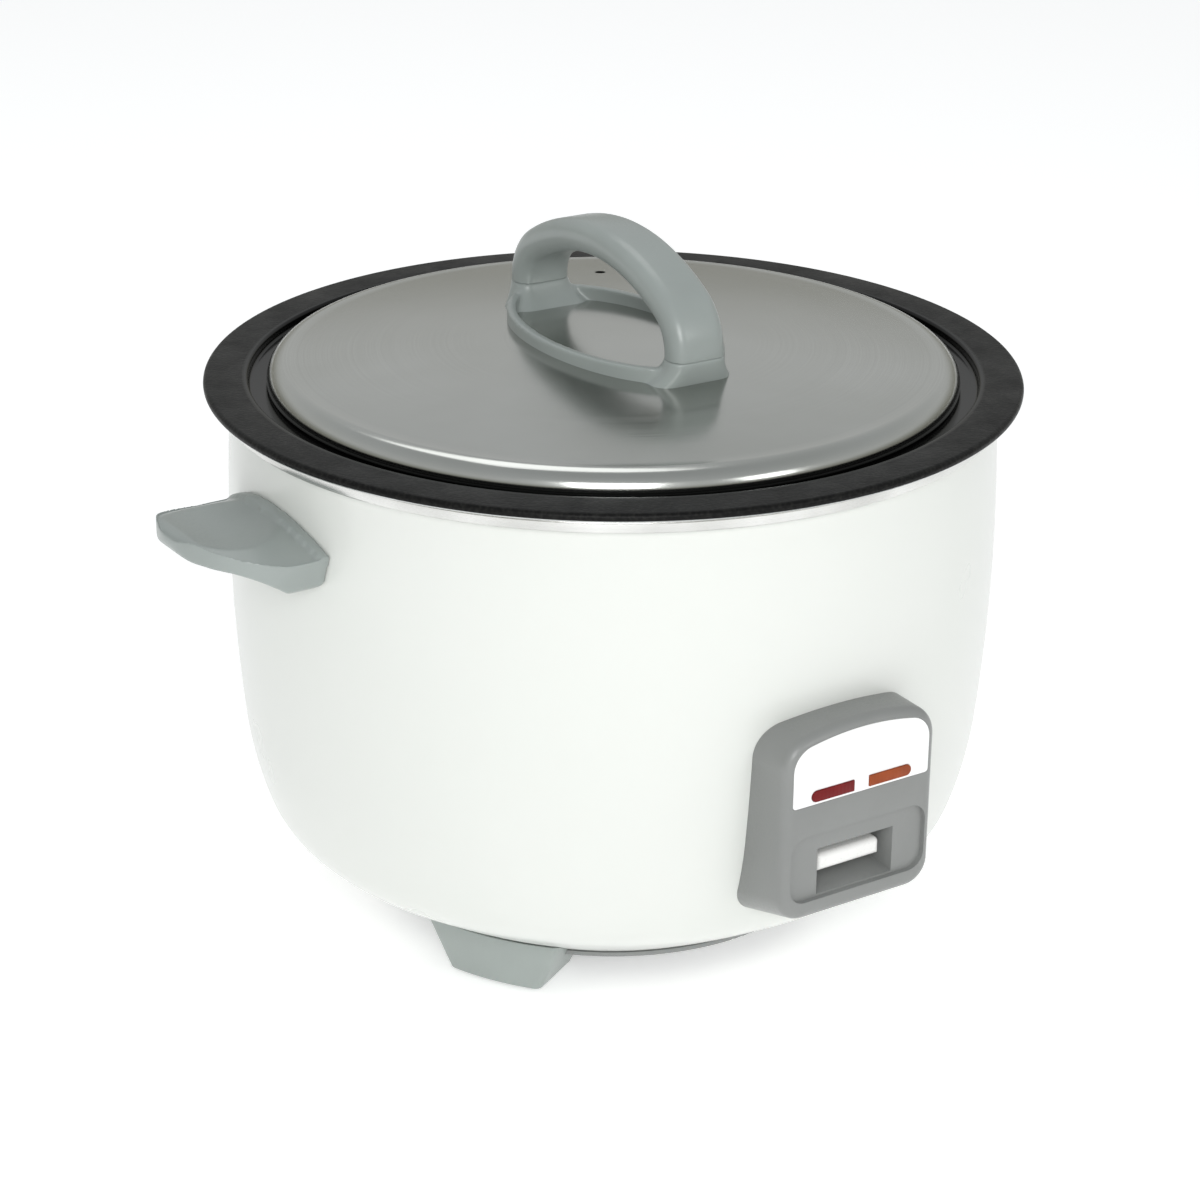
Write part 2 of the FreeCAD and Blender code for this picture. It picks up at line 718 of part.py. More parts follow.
# ---- control panel ---------------------------------------------------------------------------------------------------
front = -panel_reach
panel_inside = front + panel_wall
plate_half_width = panel_half_width - plate_margin
lens_middle = drum_base + lens_low + lens_height / 2
board_front = front + 15.0
board_thickness = 1.6
board_half_width = 24.0
board_low = plate_low - 6.0
board_high = plate_low + 16.0
board_post = 2.2
neon_radius = 2.3
neon_edge = 1.5
lamp_places = [-(lens_gap + lens_width) / 2, (lens_gap + lens_width) / 2]


def lens_outline(y, side, grow):
    """Lamp lens: square at its inner end and round at its outer end."""
    inner = side * (lens_gap / 2 - grow)
    radius = lens_height / 2 + grow
    outer = side * (lens_gap / 2 + lens_width - lens_height / 2)
    low = lens_middle - radius
    high = lens_middle + radius
    return Part.Wire([
        line((inner, y, low), (outer, y, low)),
        arc((outer, y, low), (outer + side * radius, y, lens_middle), (outer, y, high)),
        line((outer, y, high), (inner, y, high)),
        line((inner, y, high), (inner, y, low)),
    ])


def faceplate_wire(y, inset):
    return crowned_outline(y, plate_half_width - inset, drum_base + plate_low + inset,
                           drum_base + panel_high - plate_margin - inset, panel_crown - 1.0,
                           1.5, plate_corner)


def panel_loft(inset, front_y):
    """The panel's outer form, or the same form moved in for its hollow."""
    back_y = -drum_radius * 0.8
    share = (front_y - back_y) / (front - back_y)
    flare = panel_flare * (1 - share)
    skirt = panel_skirt * (1 - share)
    near = crowned_outline(front_y, panel_half_width + flare - inset, drum_base + panel_low - skirt + inset,
                           drum_base + panel_high - inset, panel_crown, panel_low_corner, panel_corner)
    far = crowned_outline(back_y, panel_half_width + panel_flare - inset,
                          drum_base + panel_low - panel_skirt + inset,
                          drum_base + panel_high - inset, panel_crown, panel_low_corner, panel_corner)
    return Part.makeLoft([near, far], True, True)


def control_panel_housing():
    outside = panel_loft(0, front)
    rim = [e for e in outside.Edges if all(abs(v.Y - front) < 1e-6 for v in e.Vertexes)]
    outside = outside.makeFillet(panel_edge, rim)
    housing = outside.cut(panel_loft(panel_wall, panel_inside))
    slot_wall = 1.6
    tunnel = box((-slot_half_width - slot_wall, front + 0.5, drum_base + slot_low - slot_wall),
                 (slot_half_width + slot_wall, front + slot_depth + slot_wall, drum_base + slot_high + slot_wall))
    housing = housing.fuse(tunnel.common(outside))
    backing = rounded_rectangle(front + 0.5, -plate_half_width - 1, plate_half_width + 1,
                                drum_base + recess_low - 1.5, drum_base + recess_high + 1.5, recess_corner)
    housing = housing.fuse(prism(backing, recess_depth + 1.5).common(outside))
    for x in (-boss_x, boss_x):
        for height in boss_heights:
            boss = rod(boss_radius, 60, V(x, front + 1, drum_base + height), Y_AXIS)
            housing = housing.fuse(boss.common(outside))
    post_length = board_front - front - 1
    for x in (-board_half_width + 4, board_half_width - 4):
        housing = housing.fuse(rod(board_post, post_length, V(x, front + 1, drum_base + board_high - 4), Y_AXIS))
    housing = housing.cut(drum_outside)
    housing = housing.cut(prism(faceplate_wire(front - 1, -trim_gap), 1 + plate_thickness))
    recess = rounded_rectangle(front - 1, -plate_half_width, plate_half_width, drum_base + recess_low,
                               drum_base + recess_high, recess_corner)
    housing = housing.cut(prism(recess, 1 + recess_depth))
    for side in (-1, 1):
        housing = housing.cut(prism(lens_outline(front, side, trim_gap), panel_wall + 1))
    slot_floor = drum_base + slot_low
    pocket = Part.Wire([
        line((0, front, slot_floor), (0, front + recess_depth, slot_floor)),
        line((0, front + recess_depth, slot_floor), (0, front + slot_depth, slot_floor + slot_floor_rise)),
        line((0, front + slot_depth, slot_floor + slot_floor_rise), (0, front + slot_depth, drum_base + slot_high)),
        line((0, front + slot_depth, drum_base + slot_high), (0, front, drum_base + slot_high)),
        line((0, front, drum_base + slot_high), (0, front, slot_floor)),
    ])
    hollow = Part.Face(pocket).extrude(X_AXIS * 2 * slot_half_width)
    hollow.translate(V(-slot_half_width, 0, 0))
    housing = housing.cut(hollow)
    stem_hole = box((-stem_half_width - 2, front + slot_depth - 1, stem_low - travel_at_paddle - 2),
                    (stem_half_width + 2, front + slot_depth + slot_wall + 1, stem_high + 2))
    housing = housing.cut(stem_hole)
    for x in (-boss_x, boss_x):
        for height in boss_heights:
            bore = rod(panel_screw_radius + hole_gap, 60, V(x, front + boss_blind, drum_base + height), Y_AXIS)
            housing = housing.cut(bore)
    for x in (-board_half_width + 4, board_half_width - 4):
        bore = rod(1.0 + hole_gap, 8, V(x, board_front - 7.5, drum_base + board_high - 4), Y_AXIS)
        housing = housing.cut(bore)
    return housing.removeSplitter()


def indicator_faceplate():
    plate = prism(faceplate_wire(front, 0), plate_thickness - trim_gap)
    for side in (-1, 1):
        plate = plate.cut(prism(lens_outline(front, side, trim_gap), plate_thickness))
    return plate


def lamp_lens(side):
    proud = 0.6
    lens = prism(lens_outline(front, side, 0), panel_wall + 2)
    head = prism(lens_outline(front, side, 0), proud, Y_AXIS * -1)
    shelf = prism(lens_outline(panel_inside + trim_gap, side, 1.0), 1.5)
    return lens.fuse(head).fuse(shelf).removeSplitter()


def neon_lamp(x):
    length = lens_width * 0.6
    start = V(x - length / 2, board_front - neon_radius - seat_gap, lens_middle)
    lamp = rod(neon_radius, length, start, X_AXIS)
    return lamp.makeFillet(neon_edge, lamp.Edges)


def lamp_board():
    board = box((-board_half_width, board_front, drum_base + board_low),
                (board_half_width, board_front + board_thickness, drum_base + board_high))
    for x in (-board_half_width + 4, board_half_width - 4):
        board = board.cut(rod(1.0 + hole_gap, 5, V(x, board_front - 1, drum_base + board_high - 4), Y_AXIS))
    return board


def panel_screw_set():
    screws = []
    for x in (-boss_x, boss_x):
        for height in boss_heights:
            radius = wall_radius(height - panel_screw_head, shell_wall)
            wall = math.sqrt(radius ** 2 - (abs(x) + panel_screw_head) ** 2) - seat_gap
            start = V(x, -wall, drum_base + height)
            length = panel_reach - boss_blind - 1.0 - wall
            screws.append(screw(panel_screw_radius, length, panel_screw_head, 2.0, start, Y_AXIS * -1))
    return screws


def lamp_board_screw_set():
    screws = []
    for x in (-board_half_width + 4, board_half_width - 4):
        start = V(x, board_front + board_thickness, drum_base + board_high - 4)
        screws.append(screw(1.0, 7, 2.0, 1.2, start, Y_AXIS * -1))
    return screws


# ---- lever -----------------------------------------------------------------------------------------------------------
pivot_y = -lever_pivot_reach
pivot_z = drum_base + lever_pivot_height
travel = math.radians(lever_travel_deg)
paddle_y = -paddle_reach
stem_half_width = 6.0
stem_low = drum_base + paddle_low + 2.0
stem_high = stem_low + 4.0
travel_at_paddle = travel * (paddle_reach - lever_pivot_reach)
magnet_lift = travel * lever_pivot_reach
strip_middle = stem_low + 2.0
strip_ring = liner_corner + 3.0
strip_top_y = -(liner_outer - liner_corner + strip_ring)
hub_radius = 3.4


def lever_arm():
    """Bent strip: level behind the paddle, down past the liner's corner, then level to the middle."""
    centre_y = -(liner_outer - liner_corner)
    centre_z = liner_floor - liner_wall + liner_corner
    half = lever_strip / 2
    slope_deg = 30.0
    slope = math.radians(slope_deg)

    def around(ring, angle_deg):
        angle = math.radians(angle_deg)
        return (0, centre_y - ring * math.cos(angle), centre_z - ring * math.sin(angle))

    def run_down(ring):
        """Point where the sloping run meets the level run's surface on the same side."""
        start = around(ring, 90 - slope_deg)
        level = pivot_z - (ring - strip_ring)
        drop = start[2] - level
        return (0, start[1] + drop / math.tan(slope), level)

    inner = strip_ring - half
    outer = strip_ring + half
    stem_y = front + slot_depth + 4
    end_y = rod_radius + 3.5
    outline = Part.Wire([
        line((0, stem_y, strip_middle + half), (0, centre_y - inner, strip_middle + half)),
        line((0, centre_y - inner, strip_middle + half), (0, centre_y - inner, centre_z)),
        arc((0, centre_y - inner, centre_z), around(inner, 30), around(inner, 90 - slope_deg)),
        line(around(inner, 90 - slope_deg), run_down(inner)),
        line(run_down(inner), (0, end_y, pivot_z + half)),
        line((0, end_y, pivot_z + half), (0, end_y, pivot_z - half)),
        line((0, end_y, pivot_z - half), run_down(outer)),
        line(run_down(outer), around(outer, 90 - slope_deg)),
        arc(around(outer, 90 - slope_deg), around(outer, 30), (0, centre_y - outer, centre_z)),
        line((0, centre_y - outer, centre_z), (0, centre_y - outer, strip_middle - half)),
        line((0, centre_y - outer, strip_middle - half), (0, stem_y, strip_middle - half)),
        line((0, stem_y, strip_middle - half), (0, stem_y, strip_middle + half)),
    ])
    arm = Part.Face(outline).extrude(X_AXIS * lever_width)
    arm.translate(V(-lever_width / 2, 0, 0))
    eye_half = rod_radius + 5.0
    eye = box((-eye_half, -eye_half, pivot_z - half), (eye_half, end_y, pivot_z + half))
    fork = box((-rod_radius - 1, -rod_radius - 1.5, pivot_z - half - 1),
               (rod_radius + 1, end_y + 1, pivot_z + half + 1))
    arm = arm.fuse(eye).cut(fork)
    arm = arm.fuse(rod(hub_radius, lever_width, V(-lever_width / 2, pivot_y, pivot_z), X_AXIS))
    arm = arm.cut(rod(pin_radius + running_gap, lever_width + 2, V(-lever_width / 2 - 1, pivot_y, pivot_z), X_AXIS))
    return arm.removeSplitter()


def switch_paddle():
    low = drum_base + paddle_low
    high = drum_base + paddle_high
    depth = 9.0
    blade = box((-paddle_half_width, paddle_y, low), (paddle_half_width, paddle_y + depth, high))
    long_edges = [e for e in blade.Edges
                  if abs(e.CenterOfMass.y - paddle_y) < 1e-6 or e.CenterOfMass.z > high - 1e-6]
    blade = blade.makeFillet(paddle_edge, long_edges)
    stem_end = strip_top_y - lever_strip / 2 - seat_gap
    stem = box((-stem_half_width, paddle_y + depth - 0.5, stem_low), (stem_half_width, stem_end, stem_high))
    paddle = blade.fuse(stem).removeSplitter()
    slot_start = front + slot_depth + 4 - trim_gap
    half = lever_strip / 2
    socket = box((-lever_width / 2 - trim_gap, slot_start, strip_middle - half - running_gap),
                 (lever_width / 2 + trim_gap, stem_end + 1, strip_middle + half + running_gap))
    return paddle.cut(socket)


# ---- bracket, micro switch and magnet --------------------------------------------------------------------------------
under_liner = liner_floor - liner_wall
bracket_sheet = 1.5
bracket_half_width = 10.0
cheek_inside = lever_width / 2 + 1.5
bracket_front = pivot_y - 8.0
bracket_back = pivot_y + 52.0
bracket_screw_radius = 1.5
bracket_screw_places = [pivot_y + 11.0, pivot_y + 46.5]
switch_middle = pivot_y + 29.0
switch_half_length = 9.0
switch_half_width = 4.0
plunger_radius = 1.5
plunger_edge = 0.6
plunger_low = pivot_z + lever_strip / 2 + seat_gap
plunger_high = plunger_low + 8.0
switch_low = plunger_low + 4.0
plunger_travel = travel * (lever_pivot_reach + switch_middle)


def lever_bracket():
    plate = box((-bracket_half_width, bracket_front, under_liner - bracket_sheet),
                (bracket_half_width, bracket_back, under_liner))
    bracket = plate
    for side in (-1, 1):
        inner = side * cheek_inside
        outer = side * (cheek_inside + bracket_sheet)
        cheek = box((min(inner, outer), bracket_front, pivot_z), (max(inner, outer), pivot_y + 8, under_liner))
        eye = rod(5.0, bracket_sheet, V(min(inner, outer), pivot_y, pivot_z), X_AXIS)
        bracket = bracket.fuse(cheek).fuse(eye)
    bracket = bracket.cut(rod(pin_radius, 40, V(-20, pivot_y, pivot_z), X_AXIS))
    for y in bracket_screw_places:
        bracket = bracket.cut(rod(bracket_screw_radius + hole_gap, 10, V(0, y, under_liner - 6)))
    return bracket.removeSplitter()


def lever_pivot_pin():
    reach = cheek_inside + bracket_sheet + 1.2
    pin = rod(pin_radius, 2 * reach, V(-reach, pivot_y, pivot_z), X_AXIS)
    head = rod(2.6, 1.0, V(reach, pivot_y, pivot_z), X_AXIS)
    return pin.fuse(head).removeSplitter()


def micro_switch():
    body = box((-switch_half_width, switch_middle - switch_half_length, switch_low),
               (switch_half_width, switch_middle + switch_half_length, under_liner - bracket_sheet))
    return body.cut(rod(plunger_radius + running_gap, plunger_high + plunger_travel + 1 - switch_low,
                        V(0, switch_middle, switch_low)))


def micro_switch_plunger():
    plunger = rod(plunger_radius, plunger_high - plunger_low, V(0, switch_middle, plunger_low))
    tip = [e for e in plunger.Edges if e.CenterOfMass.z < plunger_low + 0.01]
    return plunger.makeFillet(plunger_edge, tip)


cap_top = pot_underside - seat_gap
cap_low = cap_top - cap_height
ferrite_low = cap_top - cap_wall - ferrite_thickness
magnet_top = ferrite_low - cap_overtravel - seat_gap - magnet_lift
magnet_low = magnet_top - magnet_height
tube_floor = under_liner - 1.5
tube_top = cap_top - cap_wall - cap_overtravel - 0.5
collar_low = pivot_z + lever_strip / 2 + 0.5
collar_top = collar_low + 2.0
coil_steps = 20               # straight runs in one turn of a spring


def sensor_cap():
    cap = rod(cap_radius, cap_height, V(0, 0, cap_low))
    cap = cap.makeFillet(cap_edge, [e for e in cap.Edges if e.CenterOfMass.z > cap_top - 0.01])
    return cap.cut(rod(cap_radius - cap_wall, cap_height - cap_wall, V(0, 0, cap_low)))


def curie_ferrite():
    return rod(tube_radius - tube_wall - 1.0, ferrite_thickness, V(0, 0, ferrite_low))


def sensor_tube():
    tube = rod(tube_radius, tube_top - tube_floor, V(0, 0, tube_floor))
    flange = rod(tube_radius + 7, under_liner - tube_floor, V(0, 0, tube_floor))
    tube = tube.fuse(flange).removeSplitter()
    tube = tube.cut(rod(tube_radius - tube_wall, 60, V(0, 0, under_liner)))
    return tube.cut(rod(rod_radius + running_gap, 10, V(0, 0, tube_floor - 5)))


def lift_rod():
    low = pivot_z - 5.0
    shaft = rod(rod_radius, magnet_top - low, V(0, 0, low))
    shoulder = rod(rod_radius + 2.5, 1.5, V(0, 0, magnet_low - 1.5))
    collar = rod(collar_radius, collar_top - collar_low, V(0, 0, collar_low))
    return shaft.fuse(shoulder).fuse(collar).removeSplitter()


def ring_magnet():
    ring = rod(magnet_radius, magnet_height, V(0, 0, magnet_low))
    return ring.cut(rod(rod_radius + running_gap, magnet_height, V(0, 0, magnet_low)))


def coil_spring(radius, wire, low, high, turns):
    """Coil of square wire, bent in short straight runs, between two levels."""
    height = high - low - wire - 0.2
    count = turns * coil_steps
    points = []
    for step in range(count + 1):
        angle = 2 * math.pi * step / coil_steps
        points.append(V(radius * math.cos(angle), radius * math.sin(angle), height * step / count))
    half = wire / 2
    ring = Part.makePolygon([
        V(radius - half, 0, -half), V(radius + half, 0, -half), V(radius + half, 0, half),
        V(radius - half, 0, half), V(radius - half, 0, -half),
    ])
    spring = Part.makePolygon(points).makePipeShell([ring], True, False, 1)
    spring.translate(V(0, 0, low + half + 0.1))
    return spring


# ---- heater ------------------------------------------------------------------------------------------------------------
element_middle = heater_base + element_radius + 0.6
terminal_angles = [75.0, 105.0]
terminal_drop = 11.0
post_angles = [45.0, 165.0, 285.0]
post_screw_radius = 2.0
post_radius = 6.0


def heating_plate():
    plate = rod(plate_radius, heater_thickness, V(0, 0, heater_base))
    plate = plate.makeFillet(plate_edge, [e for e in plate.Edges if e.CenterOfMass.z > heater_top - 0.01])
    plate = plate.cut(rod(sensor_hole, heater_thickness, V(0, 0, heater_base)))
    groove = element_radius + 0.2
    depth = element_middle + groove - heater_base
    outer = rod(element_ring + groove, depth, V(0, 0, heater_base))
    plate = plate.cut(outer.cut(rod(element_ring - groove, depth, V(0, 0, heater_base))))
    for angle in post_angles:
        plate = plate.cut(rod(post_screw_radius + hole_gap, 9, polar(post_ring, angle, heater_base)))
    return plate


def heating_element():
    start = polar(element_ring, terminal_angles[1], element_middle)
    along = Z_AXIS.cross(V(start.x, start.y, 0).normalize())
    face = Part.Face(Part.Wire([Part.Circle(start, along, element_radius).toShape()]))
    ring = face.revolve(ORIGIN, Z_AXIS, 360 - (terminal_angles[1] - terminal_angles[0]))
    for angle in terminal_angles:
        leg_low = liner_floor - 2.0
        leg = rod(element_radius, element_middle - leg_low, polar(element_ring, angle, leg_low))
        ball = Part.makeSphere(element_radius, polar(element_ring, angle, element_middle))
        ring = ring.fuse(leg).fuse(ball)
    return ring.removeSplitter()


def element_terminal_set():
    return [rod(1.8, terminal_drop - 2.0, polar(element_ring, angle, liner_floor - terminal_drop))
            for angle in terminal_angles]


def support_post_set():
    posts = []
    for angle in post_angles:
        post = rod(post_radius, heater_base - liner_floor, polar(post_ring, angle, liner_floor))
        bore = rod(post_screw_radius + hole_gap, heater_base - liner_floor, polar(post_ring, angle, liner_floor))
        posts.append(post.cut(bore))
    return posts


def plate_screw_set():
    length = heater_base + 8 - under_liner
    return [screw(post_screw_radius, length, 3.8, 2.4, polar(post_ring, angle, under_liner), Z_AXIS)
            for angle in post_angles]


def thermal_fuse():
    spot = polar(52.0, 340.0, heater_base - 2.3)
    return rod(2.0, 14.0, spot + V(0, -7, 0), Y_AXIS)


def fuse_clip():
    spot = polar(52.0, 340.0, heater_base)
    strap = box((spot.x - 8, spot.y - 3, heater_base - 5.0), (spot.x + 8, spot.y + 3, heater_base))
    channel = box((spot.x - 2.2, spot.y - 3, heater_base - 4.4), (spot.x + 2.2, spot.y + 3, heater_base))
    return strap.cut(channel)


def keep_warm_thermostat():
    spot = polar(52.0, 200.0, heater_base)
    flange = rod(9.0, 1.2, spot - Z_AXIS * 1.2)
    can = rod(7.5, 8.0, spot - Z_AXIS * 8.0)
    return flange.fuse(can).removeSplitter()


def keep_warm_band():
    band = rod(liner_outer + seat_gap + band_wall, band_height, V(0, 0, band_low))
    band = band.cut(rod(liner_outer + seat_gap, band_height, V(0, 0, band_low)))
    gap = box((-6, drum_base_radius, band_low), (6, drum_radius, band_low + band_height))
    return band.cut(gap)


# ---- terminal block, wires and power inlet -----------------------------------------------------------------------------
block_middle = plate_radius - 10.0
block_half_length = 24.0
block_half_depth = 9.0
block_height = 14.0
block_screw_places = [-18.0, 18.0]
wire_radius = 1.2
wire_spacing = 7.0
wire_ring = liner_corner + 5.5
inlet_height = drum_base + inlet_middle
inlet_screw_x = inlet_half_width - 4.5
inlet_depth = 15.0
pin_inner = liner_outer - liner_corner + wire_ring + wire_radius + 0.1


def terminal_block():
    block = box((-block_half_length, block_middle - block_half_depth, under_liner - block_height),
                (block_half_length, block_middle + block_half_depth, under_liner))
    for x in block_screw_places:
        block = block.cut(rod(bracket_screw_radius + hole_gap, 30, V(x, block_middle, under_liner - 20)))
    return block


def liner_screw_set():
    spots = [V(0, y, under_liner - bracket_sheet) for y in bracket_screw_places]
    screws = [screw(bracket_screw_radius, 6, 3.0, 2.0, spot, Z_AXIS) for spot in spots]
    for x in block_screw_places:
        spot = V(x, block_middle, under_liner - block_height)
        screws.append(screw(bracket_screw_radius, block_height + 4, 3.0, 2.0, spot, Z_AXIS))
    return screws


def internal_wire_set():
    centre_y = liner_outer - liner_corner
    centre_z = under_liner + liner_corner
    end_y = block_middle + block_half_depth
    wires = []
    for x in (-wire_spacing, 0, wire_spacing):
        low_z = centre_z - wire_ring
        bend = (x, centre_y + wire_ring * math.cos(math.pi / 4), centre_z - wire_ring * math.sin(math.pi / 4))
        route = Part.Wire([
            line((x, centre_y + wire_ring, inlet_height + 2), (x, centre_y + wire_ring, centre_z)),
            arc((x, centre_y + wire_ring, centre_z), bend, (x, centre_y, low_z)),
            line((x, centre_y, low_z), (x, end_y, low_z)),
        ])
        start = V(x, centre_y + wire_ring, inlet_height + 2)
        ring = Part.Wire([Part.Circle(start, Z_AXIS, wire_radius).toShape()])
        wires.append(route.makePipeShell([ring], True, True))
    for angle in terminal_angles:
        tip = polar(element_ring, angle, liner_floor - terminal_drop + 3)
        wires.append(rod(wire_radius, block_middle - block_half_depth - tip.y - 1.9, tip + V(0, 1.9, 0), Y_AXIS))
    return wires


def power_inlet_housing():
    back = inlet_reach
    block = box((-inlet_half_width, drum_base_radius, inlet_height - inlet_half_height),
                (inlet_half_width, back, inlet_height + inlet_half_height))
    long_edges = [e for e in block.Edges if abs(e.Vertexes[0].Y - e.Vertexes[1].Y) > 1]
    block = block.makeFillet(inlet_corner, long_edges)
    block = block.makeFillet(inlet_edge, [e for e in block.Edges if e.CenterOfMass.y > back - 0.01])
    block = block.cut(drum_outside)
    socket = rounded_rectangle(back - inlet_depth, -socket_half_width, socket_half_width,
                               inlet_height - socket_half_height, inlet_height + socket_half_height, 4.0)
    block = block.cut(prism(socket, inlet_depth + 1))
    for place in pin_places:
        block = block.cut(box((place[0] - 2.0 - running_gap, drum_base_radius, place[1] - 0.8 - running_gap),
                              (place[0] + 2.0 + running_gap, back, place[1] + 0.8 + running_gap)))
    for x in (-inlet_screw_x, inlet_screw_x):
        block = block.cut(rod(panel_screw_radius + hole_gap, inlet_reach - drum_base_radius,
                              V(x, drum_base_radius, inlet_height), Y_AXIS))
        block = block.cut(rod(3.2, 20, V(x, back - 8, inlet_height), Y_AXIS))
    return block


socket_half_width = 13.0
socket_half_height = 9.0
pin_places = [(-wire_spacing, inlet_height + 2.5), (0, inlet_height - 2.5), (wire_spacing, inlet_height + 2.5)]


def inlet_pin_set():
    return [box((x - 2.0, pin_inner, z - 0.8), (x + 2.0, inlet_reach - 4, z + 0.8)) for x, z in pin_places]


def inlet_screw_set():
    return [screw(panel_screw_radius, 20, 2.8, 1.8, V(x, inlet_reach - 8, inlet_height), Y_AXIS * -1)
            for x in (-inlet_screw_x, inlet_screw_x)]


# ---- base ----------------------------------------------------------------------------------------------------------------
cover_radius = drum_base_radius + 1.5
foot_angles = [210.0, 330.0, 90.0]
base_screw_angles = [30.0, 150.0, 270.0]
base_screw_ring = (drum_opening_radius + drum_base_radius) / 2
base_screw_radius = 1.5
foot_screw_ring = drum_opening_radius - 5.0
pad_ring = foot_outer - 16.0


def base_cover():
    cover = rod(cover_radius, cover_thickness, V(0, 0, drum_base - cover_thickness))
    cover = cover.makeFillet(cover_edge, [e for e in cover.Edges if e.CenterOfMass.z < drum_base - 1])
    for angle in base_screw_angles:
        cover = cover.cut(rod(base_screw_radius + hole_gap, 20, polar(base_screw_ring, angle, drum_base - 10)))
    for angle in foot_angles:
        cover = cover.cut(rod(base_screw_radius + hole_gap, 20, polar(foot_screw_ring, angle, drum_base - 10)))
    slot = box((44, -2, drum_base - cover_thickness - 1), (64, 2, drum_base + 1))
    for step in range(12):
        vent = slot.copy()
        vent.rotate(ORIGIN, Z_AXIS, 15 + 30 * step)
        cover = cover.cut(vent)
    return cover


def foot(angle):
    low = pad_proud
    high = drum_base + 10.0
    sole = Part.Wire([
        line((foot_inner, 0, low), (foot_outer, 0, low)),
        line((foot_outer, 0, low), (foot_outer + 4.5, 0, high)),
        line((foot_outer + 4.5, 0, high), (foot_inner, 0, high)),
        line((foot_inner, 0, high), (foot_inner, 0, low)),
    ])
    sector = Part.Face(sole)
    sector.rotate(ORIGIN, Z_AXIS, -40)
    sector = sector.revolve(ORIGIN, Z_AXIS, 80)
    wide = foot_half_width + foot_flare
    front_view = Part.Wire([
        line((0, -foot_half_width, low), (0, foot_half_width, low)),
        line((0, foot_half_width, low), (0, wide, high)),
        line((0, wide, high), (0, -wide, high)),
        line((0, -wide, high), (0, -foot_half_width, low)),
    ])
    block = sector.common(Part.Face(front_view).extrude(X_AXIS * 200))
    upright = [e for e in block.Edges if abs(e.Vertexes[0].Z - e.Vertexes[-1].Z) > 5]
    block = block.makeFillet(foot_corner, upright)
    block = block.makeFillet(foot_edge, [e for e in block.Edges if e.BoundBox.ZMax < low + 0.01])
    block = block.cut(drum_outside)
    block = block.cut(rod(cover_radius + trim_gap, 40, V(0, 0, drum_base - cover_thickness)))
    block = block.cut(rod(pad_radius + running_gap, pad_height - pad_proud, V(pad_ring, 0, pad_proud)))
    block = block.cut(rod(base_screw_radius + hole_gap, 9, V(foot_screw_ring, 0, drum_base - cover_thickness - 9)))
    block.rotate(ORIGIN, Z_AXIS, angle)
    return max(block.Solids, key=lambda solid: solid.Volume)


def foot_pad_set():
    pads = []
    for angle in foot_angles:
        pad = rod(pad_radius, pad_height, polar(pad_ring, angle, 0))
        pads.append(pad.makeFillet(pad_edge, [e for e in pad.Edges if e.CenterOfMass.z < 0.01]))
    return pads


def foot_screw_set():
    return [screw(base_screw_radius, 10, 2.8, 1.8, polar(foot_screw_ring, angle, drum_base), Z_AXIS * -1)
            for angle in foot_angles]


def base_screw_set():
    return [screw(base_screw_radius, 7, 2.8, 1.8, polar(base_screw_ring, angle, drum_base - cover_thickness), Z_AXIS)
            for angle in base_screw_angles]


# ---- write every piece ------------------------------------------------------------------------------------------------------
os.makedirs("parts", exist_ok=True)

save("outer_body_shell", outer_body_shell())
save("body_rim_ring", body_rim_ring())
save("inner_liner", inner_liner())
save("inner_pot", inner_pot())
save("lid_shell", lid_shell())
save("lid_handle_base", lid_handle_base())
save("lid_handle_grip", lid_handle_grip())
lid_handle_fasteners()
save("side_handle_left", side_handle(-1))
save("side_handle_right", side_handle(1))
save("side_handle_screws", handle_screw_set())
save("control_panel_housing", control_panel_housing())
save("indicator_faceplate", indicator_faceplate())
save("cook_lamp_lens", lamp_lens(-1))
save("warm_lamp_lens", lamp_lens(1))
save("cook_neon_lamp", neon_lamp(lamp_places[0]))
save("warm_neon_lamp", neon_lamp(lamp_places[1]))
save("lamp_board", lamp_board())
save("lamp_board_screws", lamp_board_screw_set())
save("panel_screws", panel_screw_set())
save("lever_arm", lever_arm())
save("switch_paddle", switch_paddle())
save("lever_bracket", lever_bracket())
save("lever_pivot_pin", lever_pivot_pin())
save("micro_switch", micro_switch())
save("micro_switch_plunger", micro_switch_plunger())
save("sensor_cap", sensor_cap())
save("curie_ferrite", curie_ferrite())
save("sensor_tube", sensor_tube())
save("lift_rod", lift_rod())
save("ring_magnet", ring_magnet())
save("sensor_spring", coil_spring(tube_radius + 1.05, 0.8, liner_floor, cap_low, 4))
save("release_spring", coil_spring(rod_radius + 2.0, 0.8, collar_top, tube_floor, 6))
save("heating_plate", heating_plate())
save("heating_element", heating_element())
save("element_terminals", element_terminal_set())
save("plate_support_posts", support_post_set())
save("plate_screws", plate_screw_set())
save("thermal_fuse", thermal_fuse())
save("fuse_clip", fuse_clip())
save("keep_warm_thermostat", keep_warm_thermostat())
save("keep_warm_band", keep_warm_band())
save("terminal_block", terminal_block())
save("liner_screws", liner_screw_set())
save("internal_wires", internal_wire_set())
save("power_inlet_housing", power_inlet_housing())
save("inlet_pins", inlet_pin_set())
save("inlet_screws", inlet_screw_set())
save("base_cover", base_cover())
for name, angle in zip(["front_left_foot", "front_right_foot", "rear_foot"], foot_angles):
    save(name, foot(angle))
save("foot_pads", foot_pad_set())
save("foot_screws", foot_screw_set())
save("base_screws", base_screw_set())
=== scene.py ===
import json
import math

import bpy
from mathutils import Matrix, Vector

